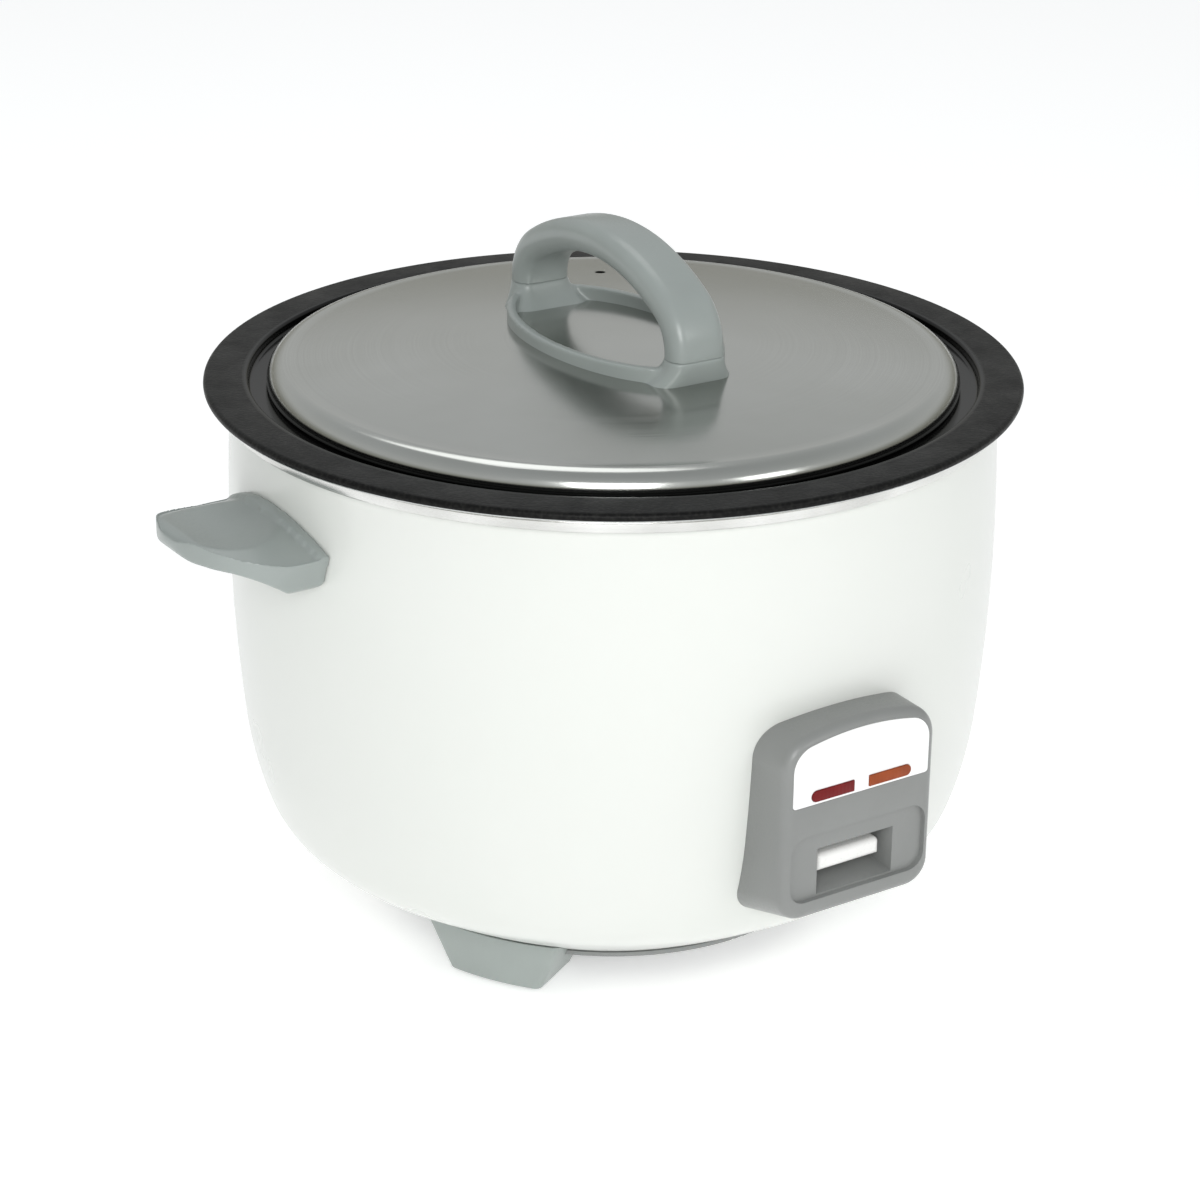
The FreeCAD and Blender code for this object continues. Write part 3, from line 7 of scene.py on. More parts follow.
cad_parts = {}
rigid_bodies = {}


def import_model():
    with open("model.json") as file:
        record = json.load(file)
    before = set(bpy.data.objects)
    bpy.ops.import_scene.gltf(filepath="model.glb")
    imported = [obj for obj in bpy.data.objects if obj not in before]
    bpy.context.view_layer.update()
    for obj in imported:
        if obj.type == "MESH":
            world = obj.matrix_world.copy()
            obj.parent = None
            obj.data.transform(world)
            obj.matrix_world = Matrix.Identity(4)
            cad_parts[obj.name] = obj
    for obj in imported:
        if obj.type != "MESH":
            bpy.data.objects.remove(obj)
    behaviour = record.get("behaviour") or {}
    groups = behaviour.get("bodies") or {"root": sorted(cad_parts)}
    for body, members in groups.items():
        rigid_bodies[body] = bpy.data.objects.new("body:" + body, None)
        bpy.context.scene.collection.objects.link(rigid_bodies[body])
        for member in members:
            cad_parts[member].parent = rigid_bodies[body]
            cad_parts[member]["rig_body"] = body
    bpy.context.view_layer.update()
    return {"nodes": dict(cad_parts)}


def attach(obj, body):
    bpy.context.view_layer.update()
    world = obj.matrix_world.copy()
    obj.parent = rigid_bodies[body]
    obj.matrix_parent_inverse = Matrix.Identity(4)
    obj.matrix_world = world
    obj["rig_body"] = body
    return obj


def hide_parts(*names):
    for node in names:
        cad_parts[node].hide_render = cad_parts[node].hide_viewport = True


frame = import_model()
scene = bpy.context.scene
cadNodes = frame["nodes"]
print("frame loaded,", len(cadNodes), "nodes")

# camera and studio
cameraSettings = {
    "place": (-0.7466, -1.1272, 0.7154),
    "right": (0.83764, -0.54616, 0.00804),
    "up": (0.20634, 0.33001, 0.92115),
    "lens": 94.65,
}
studioSettings = {
    "floorSize": 60.0,
    "floorColor": (0.9, 0.9, 0.9),
    "floorGlow": 0.36,
    "skyBands": [
        (0.0, (0.30, 0.29, 0.24)), (0.14, (0.5, 0.5, 0.46)), (0.32, (0.86, 0.87, 0.87)),
        (0.65, (0.72, 0.74, 0.75)), (1.0, (0.6, 0.62, 0.63)),
    ],
    "skyStrength": 0.78,
    "aim": (0.0, 0.0, 0.15),
    "lights": [
        {"name": "leftSoftbox", "place": (-1.25, -1.9, 1.25), "size": 1.0, "watts": 25},
        {"name": "rightSoftbox", "place": (0.7, -2.3, 1.2), "size": 0.7, "watts": 6},
        {"name": "topSoftbox", "place": (0.2, 0.9, 2.2), "size": 1.2, "watts": 7},
    ],
}


def makeCamera(settings):
    lensData = bpy.data.cameras.new("productCamera")
    lensData.lens = settings["lens"]
    lensData.sensor_width = 36.0
    lensData.clip_end = 50
    camera = bpy.data.objects.new("productCamera", lensData)
    scene.collection.objects.link(camera)
    right = Vector(settings["right"]).normalized()
    up = Vector(settings["up"]).normalized()
    back = right.cross(up)
    turn = Matrix((right, up, back)).transposed().to_4x4()
    camera.matrix_world = Matrix.Translation(settings["place"]) @ turn
    scene.camera = camera


def makeSky(settings):
    sky = bpy.data.worlds.new("studioSky")
    sky.use_nodes = True
    tree = sky.node_tree
    glow = tree.nodes["Background"]
    glow.inputs["Strength"].default_value = settings["skyStrength"]
    where = tree.nodes.new("ShaderNodeTexCoord")
    split = tree.nodes.new("ShaderNodeSeparateXYZ")
    bands = tree.nodes.new("ShaderNodeValToRGB")
    for place, color in settings["skyBands"][1:-1]:
        bands.color_ramp.elements.new(place)
    for element, (place, color) in zip(bands.color_ramp.elements, settings["skyBands"]):
        element.position = place
        element.color = (*color, 1)
    tree.links.new(where.outputs["Generated"], split.inputs["Vector"])
    tree.links.new(split.outputs["Z"], bands.inputs["Fac"])
    tree.links.new(bands.outputs["Color"], glow.inputs["Color"])
    scene.world = sky


def makeStudio(settings):
    bpy.ops.mesh.primitive_plane_add(size=settings["floorSize"], location=(0, 0, -0.0004))
    floor = bpy.context.object
    floor.name = "studioFloor"
    paper = bpy.data.materials.new("studioPaper")
    paper.use_nodes = True
    shader = paper.node_tree.nodes["Principled BSDF"]
    shader.inputs["Base Color"].default_value = (*settings["floorColor"], 1)
    shader.inputs["Roughness"].default_value = 0.8
    shader.inputs["Emission Color"].default_value = (1, 1, 1, 1)
    shader.inputs["Emission Strength"].default_value = settings["floorGlow"]
    floor.data.materials.append(paper)
    for light in settings["lights"]:
        lamp = bpy.data.lights.new(light["name"], "AREA")
        lamp.energy = light["watts"]
        lamp.size = light["size"]
        holder = bpy.data.objects.new(light["name"], lamp)
        holder.location = light["place"]
        toward = Vector(settings["aim"]) - Vector(light["place"])
        holder.rotation_euler = toward.to_track_quat("-Z", "Y").to_euler()
        scene.collection.objects.link(holder)


scene.view_settings.view_transform = "Standard"
makeCamera(cameraSettings)
makeSky(studioSettings)
makeStudio(studioSettings)
print("camera and studio ready")


# small steps that the finishes share
def newFinish(name, color, roughness, metallic=0.0):
    finish = bpy.data.materials.new(name)
    finish.use_nodes = True
    finish.diffuse_color = (*color, 1)
    tree = finish.node_tree
    shader = tree.nodes["Principled BSDF"]
    shader.inputs["Base Color"].default_value = (*color, 1)
    shader.inputs["Roughness"].default_value = roughness
    shader.inputs["Metallic"].default_value = metallic
    return finish, tree, shader


def pointsOf(tree, stretch=(1, 1, 1)):
    where = tree.nodes.new("ShaderNodeTexCoord")
    mapping = tree.nodes.new("ShaderNodeMapping")
    mapping.inputs["Scale"].default_value = stretch
    tree.links.new(where.outputs["Object"], mapping.inputs["Vector"])
    return mapping.outputs["Vector"]


def noiseOn(tree, points, scale, detail=3.0):
    noise = tree.nodes.new("ShaderNodeTexNoise")
    noise.inputs["Scale"].default_value = scale
    noise.inputs["Detail"].default_value = detail
    tree.links.new(points, noise.inputs["Vector"])
    return noise.outputs["Fac"]


def fromAxis(tree):
    # distance from the upright axis, and height
    split = tree.nodes.new("ShaderNodeSeparateXYZ")
    tree.links.new(pointsOf(tree), split.inputs["Vector"])
    flat = tree.nodes.new("ShaderNodeCombineXYZ")
    tree.links.new(split.outputs["X"], flat.inputs["X"])
    tree.links.new(split.outputs["Y"], flat.inputs["Y"])
    length = tree.nodes.new("ShaderNodeVectorMath")
    length.operation = "LENGTH"
    tree.links.new(flat.outputs["Vector"], length.inputs[0])
    return length.outputs["Value"], split.outputs["Z"]


def ringPoints(tree, acrossScale, heightScale):
    # places that are the same all the way round, for marks on a turned piece
    away, height = fromAxis(tree)
    together = tree.nodes.new("ShaderNodeCombineXYZ")
    tree.links.new(scaled(tree, away, acrossScale), together.inputs["X"])
    tree.links.new(scaled(tree, height, heightScale), together.inputs["Y"])
    return together.outputs["Vector"]


def scaled(tree, value, factor):
    times = tree.nodes.new("ShaderNodeMath")
    times.operation = "MULTIPLY"
    times.inputs[1].default_value = factor
    tree.links.new(value, times.inputs[0])
    return times.outputs["Value"]


def product(tree, first, second):
    times = tree.nodes.new("ShaderNodeMath")
    times.operation = "MULTIPLY"
    tree.links.new(first, times.inputs[0])
    tree.links.new(second, times.inputs[1])
    return times.outputs["Value"]


def between(tree, value, low, high, fromLow=0.3, fromHigh=0.7):
    span = tree.nodes.new("ShaderNodeMapRange")
    span.inputs["From Min"].default_value = fromLow
    span.inputs["From Max"].default_value = fromHigh
    span.inputs["To Min"].default_value = low
    span.inputs["To Max"].default_value = high
    tree.links.new(value, span.inputs["Value"])
    return span.outputs["Result"]


def mixColors(tree, amount, first, second):
    mix = tree.nodes.new("ShaderNodeMix")
    mix.data_type = "RGBA"
    mix.inputs["A"].default_value = (*first, 1)
    mix.inputs["B"].default_value = (*second, 1)
    tree.links.new(amount, mix.inputs["Factor"])
    return mix.outputs["Result"]


def addBump(tree, shader, height, strength, distance):
    bump = tree.nodes.new("ShaderNodeBump")
    bump.inputs["Strength"].default_value = strength
    bump.inputs["Distance"].default_value = distance
    tree.links.new(height, bump.inputs["Height"])
    tree.links.new(bump.outputs["Normal"], shader.inputs["Normal"])


def shade(color, factor):
    return tuple(min(1.0, channel * factor) for channel in color)


# plain materials with their grain: moulded, cast, sheet and turned stock
def mouldedPlastic(name, color, roughness=0.38, grain=900.0, spread=0.05):
    finish, tree, shader = newFinish(name, color, roughness)
    points = pointsOf(tree)
    cloud = noiseOn(tree, points, 22.0, 4.0)
    fine = noiseOn(tree, points, grain, 3.0)
    tint = mixColors(tree, between(tree, cloud, 0, 1), shade(color, 1 - spread), shade(color, 1 + spread))
    tree.links.new(tint, shader.inputs["Base Color"])
    tree.links.new(between(tree, fine, roughness - 0.05, roughness + 0.07), shader.inputs["Roughness"])
    shader.inputs["Coat Weight"].default_value = 0.25
    shader.inputs["Coat Roughness"].default_value = 0.18
    addBump(tree, shader, fine, 0.12, 0.00012)
    return finish


def rolledMetal(name, color, roughness=0.3, stretch=(30, 30, 900), spread=0.1):
    finish, tree, shader = newFinish(name, color, roughness, 1.0)
    lines = noiseOn(tree, pointsOf(tree, stretch), 1.0, 4.0)
    cloud = noiseOn(tree, pointsOf(tree), 35.0, 3.0)
    tint = mixColors(tree, between(tree, cloud, 0, 1), shade(color, 1 - spread), shade(color, 1 + spread))
    tree.links.new(tint, shader.inputs["Base Color"])
    tree.links.new(between(tree, lines, roughness - 0.08, roughness + 0.12), shader.inputs["Roughness"])
    addBump(tree, shader, lines, 0.08, 0.0001)
    return finish


def spangledSheet(name, color):
    # zinc crystals on galvanised sheet
    finish, tree, shader = newFinish(name, color, 0.42, 1.0)
    crystals = tree.nodes.new("ShaderNodeTexVoronoi")
    crystals.inputs["Scale"].default_value = 260.0
    tree.links.new(pointsOf(tree), crystals.inputs["Vector"])
    split = tree.nodes.new("ShaderNodeSeparateColor")
    tree.links.new(crystals.outputs["Color"], split.inputs["Color"])
    facet = split.outputs["Red"]
    tint = mixColors(tree, facet, shade(color, 0.8), shade(color, 1.12))
    tree.links.new(tint, shader.inputs["Base Color"])
    tree.links.new(between(tree, facet, 0.32, 0.52, 0, 1), shader.inputs["Roughness"])
    return finish


def grainyStock(name, color, dark, roughness, scale, bump=0.2):
    # pressed board, ceramic, ferrite, mica and rubber: a speckled body colour
    finish, tree, shader = newFinish(name, color, roughness)
    speck = noiseOn(tree, pointsOf(tree), scale, 6.0)
    tree.links.new(mixColors(tree, between(tree, speck, 0, 1), dark, color), shader.inputs["Base Color"])
    tree.links.new(between(tree, speck, roughness + 0.1, roughness - 0.05), shader.inputs["Roughness"])
    addBump(tree, shader, speck, bump, 0.0002)
    return finish


# the cooker's own finishes
def whiteEnamel():
    color = (0.72, 0.74, 0.71)
    finish, tree, shader = newFinish("whiteEnamel", color, 0.28)
    points = pointsOf(tree)
    cloud = noiseOn(tree, points, 9.0, 4.0)
    peel = noiseOn(tree, points, 420.0, 2.0)
    tint = mixColors(tree, between(tree, cloud, 0, 1), (0.715, 0.735, 0.7), (0.73, 0.745, 0.715))
    tree.links.new(tint, shader.inputs["Base Color"])
    tree.links.new(between(tree, cloud, 0.27, 0.29), shader.inputs["Roughness"])
    shader.inputs["Coat Weight"].default_value = 0.3
    shader.inputs["Coat Roughness"].default_value = 0.12
    addBump(tree, shader, peel, 0.012, 0.0001)
    return finish


def brightRim():
    color = (0.72, 0.72, 0.70)
    finish, tree, shader = newFinish("brightRim", color, 0.22, 1.0)
    lines = noiseOn(tree, ringPoints(tree, 2600.0, 2600.0), 1.0, 2.0)
    cloud = noiseOn(tree, pointsOf(tree), 26.0, 3.0)
    tree.links.new(mixColors(tree, between(tree, cloud, 0, 1), (0.6, 0.6, 0.58), (0.8, 0.8, 0.78)),
                   shader.inputs["Base Color"])
    tree.links.new(between(tree, lines, 0.16, 0.32), shader.inputs["Roughness"])
    addBump(tree, shader, lines, 0.1, 0.00008)
    return finish


def polishedLid():
    color = (0.47, 0.48, 0.46)
    finish, tree, shader = newFinish("polishedLid", color, 0.16, 1.0)
    lines = noiseOn(tree, ringPoints(tree, 1500.0, 40.0), 1.0, 4.0)
    cloud = noiseOn(tree, pointsOf(tree), 14.0, 4.0)
    tree.links.new(mixColors(tree, between(tree, cloud, 0, 1), (0.45, 0.46, 0.435), (0.49, 0.5, 0.48)),
                   shader.inputs["Base Color"])
    tree.links.new(between(tree, lines, 0.13, 0.24), shader.inputs["Roughness"])
    addBump(tree, shader, lines, 0.03, 0.00005)
    return finish


def blackNonstick(flangeStart, wellRoughness):
    # smooth and glossy in the well, pebbled and greyer on the flange
    finish, tree, shader = newFinish("blackNonstick", (0.012, 0.012, 0.012), 0.2)
    shader.inputs["Specular IOR Level"].default_value = 0.14
    away = fromAxis(tree)[0]
    onFlange = between(tree, away, 0, 1, flangeStart, flangeStart + 0.0015)
    pebble = noiseOn(tree, pointsOf(tree), 620.0, 5.0)
    patch = noiseOn(tree, pointsOf(tree), 60.0, 4.0)
    tone = product(tree, between(tree, pebble, 0, 1, 0.45, 0.66), onFlange)
    tree.links.new(mixColors(tree, tone, (0.003, 0.003, 0.003), (0.011, 0.011, 0.01)),
                   shader.inputs["Base Color"])
    coarse = product(tree, between(tree, patch, 0.2, 0.34), onFlange)
    tree.links.new(between(tree, coarse, wellRoughness, wellRoughness + 1, 0, 1), shader.inputs["Roughness"])
    relief = product(tree, pebble, between(tree, onFlange, 0.08, 1, 0, 1))
    addBump(tree, shader, relief, 0.5, 0.0004)
    return finish


def lampLens(name, color, deep):
    finish, tree, shader = newFinish(name, color, 0.3)
    ribs = tree.nodes.new("ShaderNodeTexWave")
    ribs.inputs["Scale"].default_value = 160.0
    tree.links.new(pointsOf(tree), ribs.inputs["Vector"])
    cloud = noiseOn(tree, pointsOf(tree), 90.0, 2.0)
    tree.links.new(mixColors(tree, between(tree, cloud, 0, 1), deep, color), shader.inputs["Base Color"])
    shader.inputs["Specular IOR Level"].default_value = 0.25
    addBump(tree, shader, ribs.outputs["Fac"], 0.12, 0.0002)
    return finish


def neonGlass():
    finish, tree, shader = newFinish("neonGlass", (0.95, 0.86, 0.78), 0.08)
    cloud = noiseOn(tree, pointsOf(tree), 200.0, 2.0)
    tree.links.new(mixColors(tree, cloud, (0.98, 0.8, 0.66), (0.95, 0.9, 0.86)), shader.inputs["Base Color"])
    shader.inputs["Transmission Weight"].default_value = 0.8
    shader.inputs["IOR"].default_value = 1.48
    return finish


def braidedSleeve():
    color = (0.62, 0.59, 0.5)
    finish, tree, shader = newFinish("braidedSleeve", color, 0.8)
    weave = tree.nodes.new("ShaderNodeTexVoronoi")
    weave.inputs["Scale"].default_value = 1400.0
    tree.links.new(pointsOf(tree), weave.inputs["Vector"])
    tree.links.new(mixColors(tree, weave.outputs["Distance"], color, (0.42, 0.4, 0.33)),
                   shader.inputs["Base Color"])
    addBump(tree, shader, weave.outputs["Distance"], 0.5, 0.0003)
    return finish


finishes = {
    "white_enamel": whiteEnamel(),
    "bright_rim": brightRim(),
    "liner_aluminium": rolledMetal("linerAluminium", (0.62, 0.63, 0.63), 0.36),
    "nonstick_black": blackNonstick(0.1655, 0.14),
    "polished_steel": polishedLid(),
    "grey_plastic": mouldedPlastic("handlePlastic", (0.29, 0.322, 0.31), 0.34),
    "panel_grey": mouldedPlastic("panelPlastic", (0.225, 0.232, 0.226), 0.42),
    "faceplate_white": mouldedPlastic("faceplateWhite", (0.9, 0.9, 0.9), 0.3, 600.0, 0.02),
    "red_lens": lampLens("redLens", (0.19, 0.0015, 0.003), (0.12, 0.001, 0.002)),
    "orange_lens": lampLens("orangeLens", (0.31, 0.06, 0.012), (0.22, 0.04, 0.008)),
    "neon_glass": neonGlass(),
    "board_phenolic": grainyStock("phenolicBoard", (0.11, 0.055, 0.025), (0.07, 0.032, 0.014), 0.5, 300.0),
    "zinc_screw": rolledMetal("zincScrew", (0.66, 0.66, 0.62), 0.3, (300, 300, 300)),
    "spring_steel": rolledMetal("springSteel", (0.5, 0.5, 0.5), 0.32, (400, 400, 400)),
    "paddle_white": mouldedPlastic("paddleWhite", (0.86, 0.86, 0.84), 0.3, 700.0, 0.02),
    "galvanised": spangledSheet("galvanisedSheet", (0.55, 0.56, 0.57)),
    "cap_aluminium": rolledMetal("capAluminium", (0.74, 0.74, 0.73), 0.34, (90, 90, 1500)),
    "ferrite": grainyStock("ferriteGrey", (0.05, 0.05, 0.055), (0.02, 0.02, 0.022), 0.55, 900.0),
    "cast_plate": rolledMetal("castPlate", (0.56, 0.57, 0.57), 0.42, (500, 500, 500), 0.16),
    "element_steel": rolledMetal("elementSheath", (0.22, 0.2, 0.17), 0.5, (240, 240, 240), 0.3),
    "brass_terminal": rolledMetal("brassTerminal", (0.72, 0.52, 0.2), 0.3, (300, 300, 600)),
    "band_mica": grainyStock("micaBand", (0.5, 0.45, 0.32), (0.36, 0.32, 0.22), 0.4, 160.0),
    "block_ceramic": grainyStock("glazedCeramic", (0.8, 0.77, 0.7), (0.7, 0.67, 0.6), 0.25, 120.0, 0.05),
    "wire_sleeve": braidedSleeve(),
    "base_grey": mouldedPlastic("basePlastic", (0.25, 0.26, 0.255), 0.55, 500.0),
    "foot_grey": mouldedPlastic("footPlastic", (0.31, 0.345, 0.33), 0.42),
    "pad_rubber": grainyStock("padRubber", (0.028, 0.028, 0.028), (0.016, 0.016, 0.016), 0.8, 500.0),
}
print("finishes ready,", len(finishes))

for node in cadNodes.values():
    slotName = node.data.materials[0].name.split(".")[0]
    node["finishSlot"] = slotName
    node.data.materials[0] = finishes[slotName]


# modelling steps that the pieces share
def startFresh():
    bpy.ops.object.select_all(action="DESELECT")


def finishPiece(piece, node, smoothAngle=32.0):
    # puts the place in the mesh, smooths, and hands the piece to the body of the node it stands for
    startFresh()
    piece.select_set(True)
    bpy.context.view_layer.objects.active = piece
    bpy.ops.object.transform_apply(location=True, rotation=True, scale=True)
    bpy.ops.object.shade_smooth_by_angle(angle=math.radians(smoothAngle))
    slotName = cadNodes[node]["finishSlot"]
    if not piece.data.materials:
        piece.data.materials.append(finishes[slotName])
    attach(piece, cadNodes[node]["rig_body"])
    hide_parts(node)
    return piece


def looseCopy(node, name):
    # a merged copy of a design node's mesh, flat faces made whole
    startFresh()
    piece = bpy.data.objects.new(name, cadNodes[node].data.copy())
    scene.collection.objects.link(piece)
    piece.select_set(True)
    bpy.context.view_layer.objects.active = piece
    bpy.ops.mesh.customdata_custom_splitnormals_clear()
    bpy.ops.object.mode_set(mode="EDIT")
    bpy.ops.mesh.select_mode(type="VERT")
    bpy.ops.mesh.select_all(action="SELECT")
    bpy.ops.mesh.remove_doubles(threshold=0.00001)
    bpy.ops.mesh.dissolve_limited(angle_limit=math.radians(0.4))
    bpy.ops.object.mode_set(mode="OBJECT")
    return piece


def applyModifier(piece, kind, **values):
    modifier = piece.modifiers.new(kind.title(), kind)
    for key, value in values.items():
        setattr(modifier, key, value)
    bpy.context.view_layer.objects.active = piece
    bpy.ops.object.modifier_apply(modifier=modifier.name)


def cutAway(piece, cutter):
    applyModifier(piece, "BOOLEAN", operation="DIFFERENCE", solver="EXACT", object=cutter)
    bpy.data.objects.remove(cutter)


def startPoint(name, place):
    # one vertex: a plane merged to its middle
    startFresh()
    bpy.ops.mesh.primitive_plane_add(size=0.01, location=place)
    piece = bpy.context.object
    piece.name = name
    bpy.ops.object.transform_apply(location=True)
    bpy.ops.object.mode_set(mode="EDIT")
    bpy.ops.mesh.select_mode(type="VERT")
    bpy.ops.mesh.select_all(action="SELECT")
    bpy.ops.mesh.merge(type="CENTER")
    return piece


def drawLine(points):
    # extrudes the selected vertex along the points, whose first it already stands on
    here = Vector(points[0])
    for point in points[1:]:
        step = Vector(point) - here
        bpy.ops.mesh.extrude_vertices_move(TRANSFORM_OT_translate={"value": tuple(step)})
        here = Vector(point)


def closeMesh():
    # merges the seam and the poles and turns every face outward
    bpy.ops.mesh.select_all(action="SELECT")
    bpy.ops.mesh.remove_doubles(threshold=0.000002)
    bpy.ops.mesh.normals_make_consistent(inside=False)


def spinPiece(name, profile, steps=180):
    # turns a (radius, height) profile about the upright axis
    line = [(radius, 0, height) for radius, height in profile]
    piece = startPoint(name, line[0])
    drawLine(line)
    bpy.ops.mesh.select_all(action="SELECT")
    bpy.ops.mesh.spin(steps=steps, angle=2 * math.pi, center=(0, 0, 0), axis=(0, 0, 1))
    closeMesh()
    bpy.ops.object.mode_set(mode="OBJECT")
    return piece


def bend(centre, radius, fromDeg, toDeg, steps=6):
    points = []
    for step in range(steps + 1):
        angle = math.radians(fromDeg + (toDeg - fromDeg) * step / steps)
        points.append((centre[0] + radius * math.cos(angle), centre[1] + radius * math.sin(angle)))
    return points


def bendThrough(first, middle, last, steps=8):
    # points on the circle through three points, both ends included
    ax, ay = first
    bx, by = middle
    cx, cy = last
    scale = 2 * (ax * (by - cy) + bx * (cy - ay) + cx * (ay - by))
    a2, b2, c2 = ax * ax + ay * ay, bx * bx + by * by, cx * cx + cy * cy
    ox = (a2 * (by - cy) + b2 * (cy - ay) + c2 * (ay - by)) / scale
    oy = (a2 * (cx - bx) + b2 * (ax - cx) + c2 * (bx - ax)) / scale
    start = math.atan2(ay - oy, ax - ox)
    turn = (math.atan2(cy - oy, cx - ox) - start + math.pi) % (2 * math.pi) - math.pi
    radius = math.hypot(ax - ox, ay - oy)
    return [(ox + radius * math.cos(start + turn * step / steps),
             oy + radius * math.sin(start + turn * step / steps)) for step in range(steps + 1)]


# drum: one spun sheet of enamelled steel
drumSettings = {
    "rimRadius": 0.1725,
    "base": 0.016,
    "top": 0.25205,
    "knots": [(0.1725, 0.2317), (0.1705, 0.084), (0.1625, 0.047), (0.147, 0.027), (0.103, 0.0)],
    "lean": -4.2,
    "openingRadius": 0.094,
    "fillerTop": 0.27,
    "sheet": 0.0012,
    "panelWindow": (0.026, 0.076, 0.146),
    "inletWindow": (0.020, 0.081, 0.107),
    "steps": 14,
}


def drumWall(settings, grow=0.0):
    # arcs that run into each other from the rim down to the flat ring underneath
    points = []
    lean = math.radians(settings["lean"])
    base = settings["base"]
    for start, end in zip(settings["knots"], settings["knots"][1:]):
        chord = math.atan2(start[0] - end[0], start[1] - end[1])
        turn = 2 * (chord - lean)
        radius = math.dist(start, end) / (2 * math.sin(turn / 2))
        centre = (start[0] - radius * math.cos(lean), start[1] + radius * math.sin(lean))
        for step in range(settings["steps"] + 1):
            angle = lean + turn * step / settings["steps"]
            reach = radius + grow
            points.append((centre[0] + reach * math.cos(angle), base + centre[1] - reach * math.sin(angle)))
        lean += turn
        if end != settings["knots"][-1]:
            points.pop()
    return points


def pickFaces(wanted):
    # selects the faces of the mesh in edit mode whose middle and normal are wanted
    bpy.ops.mesh.select_all(action="DESELECT")
    bpy.ops.object.mode_set(mode="OBJECT")
    mesh = bpy.context.object.data
    for face in mesh.polygons:
        face.select = wanted(face.center, face.normal)
    bpy.ops.object.mode_set(mode="EDIT")
    bpy.ops.mesh.select_mode(type="FACE")


def cutWindow(window, side, reach=(0.05, 0.12)):
    # bisects the wall along the window's edges and takes its faces out
    halfWidth, low, high = window
    aside, out = reach
    edges = [((-halfWidth, 0, 0), (1, 0, 0)), ((halfWidth, 0, 0), (1, 0, 0)),
             ((0, 0, low), (0, 0, 1)), ((0, 0, high), (0, 0, 1))]
    for place, normal in edges:
        pickFaces(lambda middle, normal: side * middle.y > out and abs(middle.x) < aside)
        bpy.ops.mesh.bisect(plane_co=place, plane_no=normal)
    pickFaces(lambda middle, normal: side * middle.y > out and abs(middle.x) < halfWidth
              and low < middle.z < high)
    bpy.ops.mesh.delete(type="FACE")


def makeDrum(settings):
    top = (settings["rimRadius"], settings["top"])
    profile = [top] + drumWall(settings) + [(settings["openingRadius"], settings["base"])]
    drum = spinPiece("drumShell", profile, 216)
    bpy.ops.object.mode_set(mode="EDIT")
    cutWindow(settings["panelWindow"], -1)
    cutWindow(settings["inletWindow"], 1)
    bpy.ops.object.mode_set(mode="OBJECT")
    applyModifier(drum, "SOLIDIFY", thickness=settings["sheet"], offset=-1.0)
    return finishPiece(drum, "outer_body_shell", smoothAngle=25)


def drumFiller(settings, grow):
    # closed form of the drum, to trim what hugs its wall
    lidLevel = settings["fillerTop"]
    wall = [(settings["knots"][0][0] + grow, lidLevel)] + drumWall(settings, grow)
    return spinPiece("drumFiller", [(0, lidLevel)] + wall + [(0, settings["base"] - grow)], 216)


makeDrum(drumSettings)
print("drum made")


# bright rolled rim
rimSettings = {"inner": 0.1678, "outer": 0.1765, "low": 0.2477, "top": 0.2536, "round": 0.0022,
               "hem": 0.0005,
               "sheetIn": 0.17115, "sheetOut": 0.17265, "grooveTop": 0.2522, "linerTop": 0.2500}


def makeRim(settings):
    soft, hem = settings["round"], settings["hem"]
    profile = [(settings["sheetOut"], settings["low"]), (settings["outer"] - hem, settings["low"])]
    profile += bend((settings["outer"] - hem, settings["low"] + hem), hem, -90, 0, 3)[1:]
    profile += bend((settings["outer"] - soft, settings["top"] - soft), soft, 0, 90, 8)
    profile += [(settings["inner"], settings["top"]), (settings["inner"], settings["linerTop"]),
                (settings["sheetIn"], settings["linerTop"]), (settings["sheetIn"], settings["grooveTop"]),
                (settings["sheetOut"], settings["grooveTop"]), (settings["sheetOut"], settings["low"])]
    return finishPiece(spinPiece("rimRing", profile, 216), "body_rim_ring")


makeRim(rimSettings)


# cooking pot with its stepped flange and rolled lip
potSettings = {"radius": 0.150, "wall": 0.002, "corner": 0.038, "floor": 0.074, "ledge": 0.2545,
               "step": 0.164, "flange": 0.2590, "lipCentre": 0.1818, "lip": 0.0022, "ease": 0.0015}


def makePot(settings):
    wall, corner, ease = settings["wall"], settings["corner"], settings["ease"]
    under = settings["floor"] - wall
    heel = (settings["radius"] + wall - corner, under + corner)
    step, ledge, flange = settings["step"], settings["ledge"], settings["flange"]
    lip = (settings["lipCentre"], flange - settings["lip"])
    profile = [(0, under)] + bend(heel, corner, -90, 0, 12)
    profile += [(settings["radius"] + wall, ledge - wall), (step + wall, ledge - wall),
                (step + wall, flange - wall), (lip[0], flange - wall)]
    profile += bend(lip, settings["lip"], -90, 90, 12)
    profile += bend((step + ease, flange - ease), ease, 90, 180, 5)
    profile += bend((step - ease, ledge + ease), ease, 0, -90, 5)
    profile += bend((settings["radius"] + ease, ledge - ease), ease, 90, 180, 5)
    profile += bend(heel, corner - wall, 0, -90, 12) + [(0, settings["floor"])]
    pot = spinPiece("cookingPot", profile, 216)
    pot.data.materials.append(finishes["nonstick_black"])
    pot.data.materials.append(finishes["liner_aluminium"])
    for face in pot.data.polygons:
        away = math.hypot(face.center.x, face.center.y)
        bottom = face.center.z < settings["floor"] - wall / 2
        side = away > settings["radius"] + wall / 2 and face.center.z < ledge - wall / 2
        underFlange = face.center.z < flange - wall and face.normal.z < -0.5
        face.material_index = 1 if bottom or side or underFlange else 0
    return finishPiece(pot, "inner_pot")


makePot(potSettings)


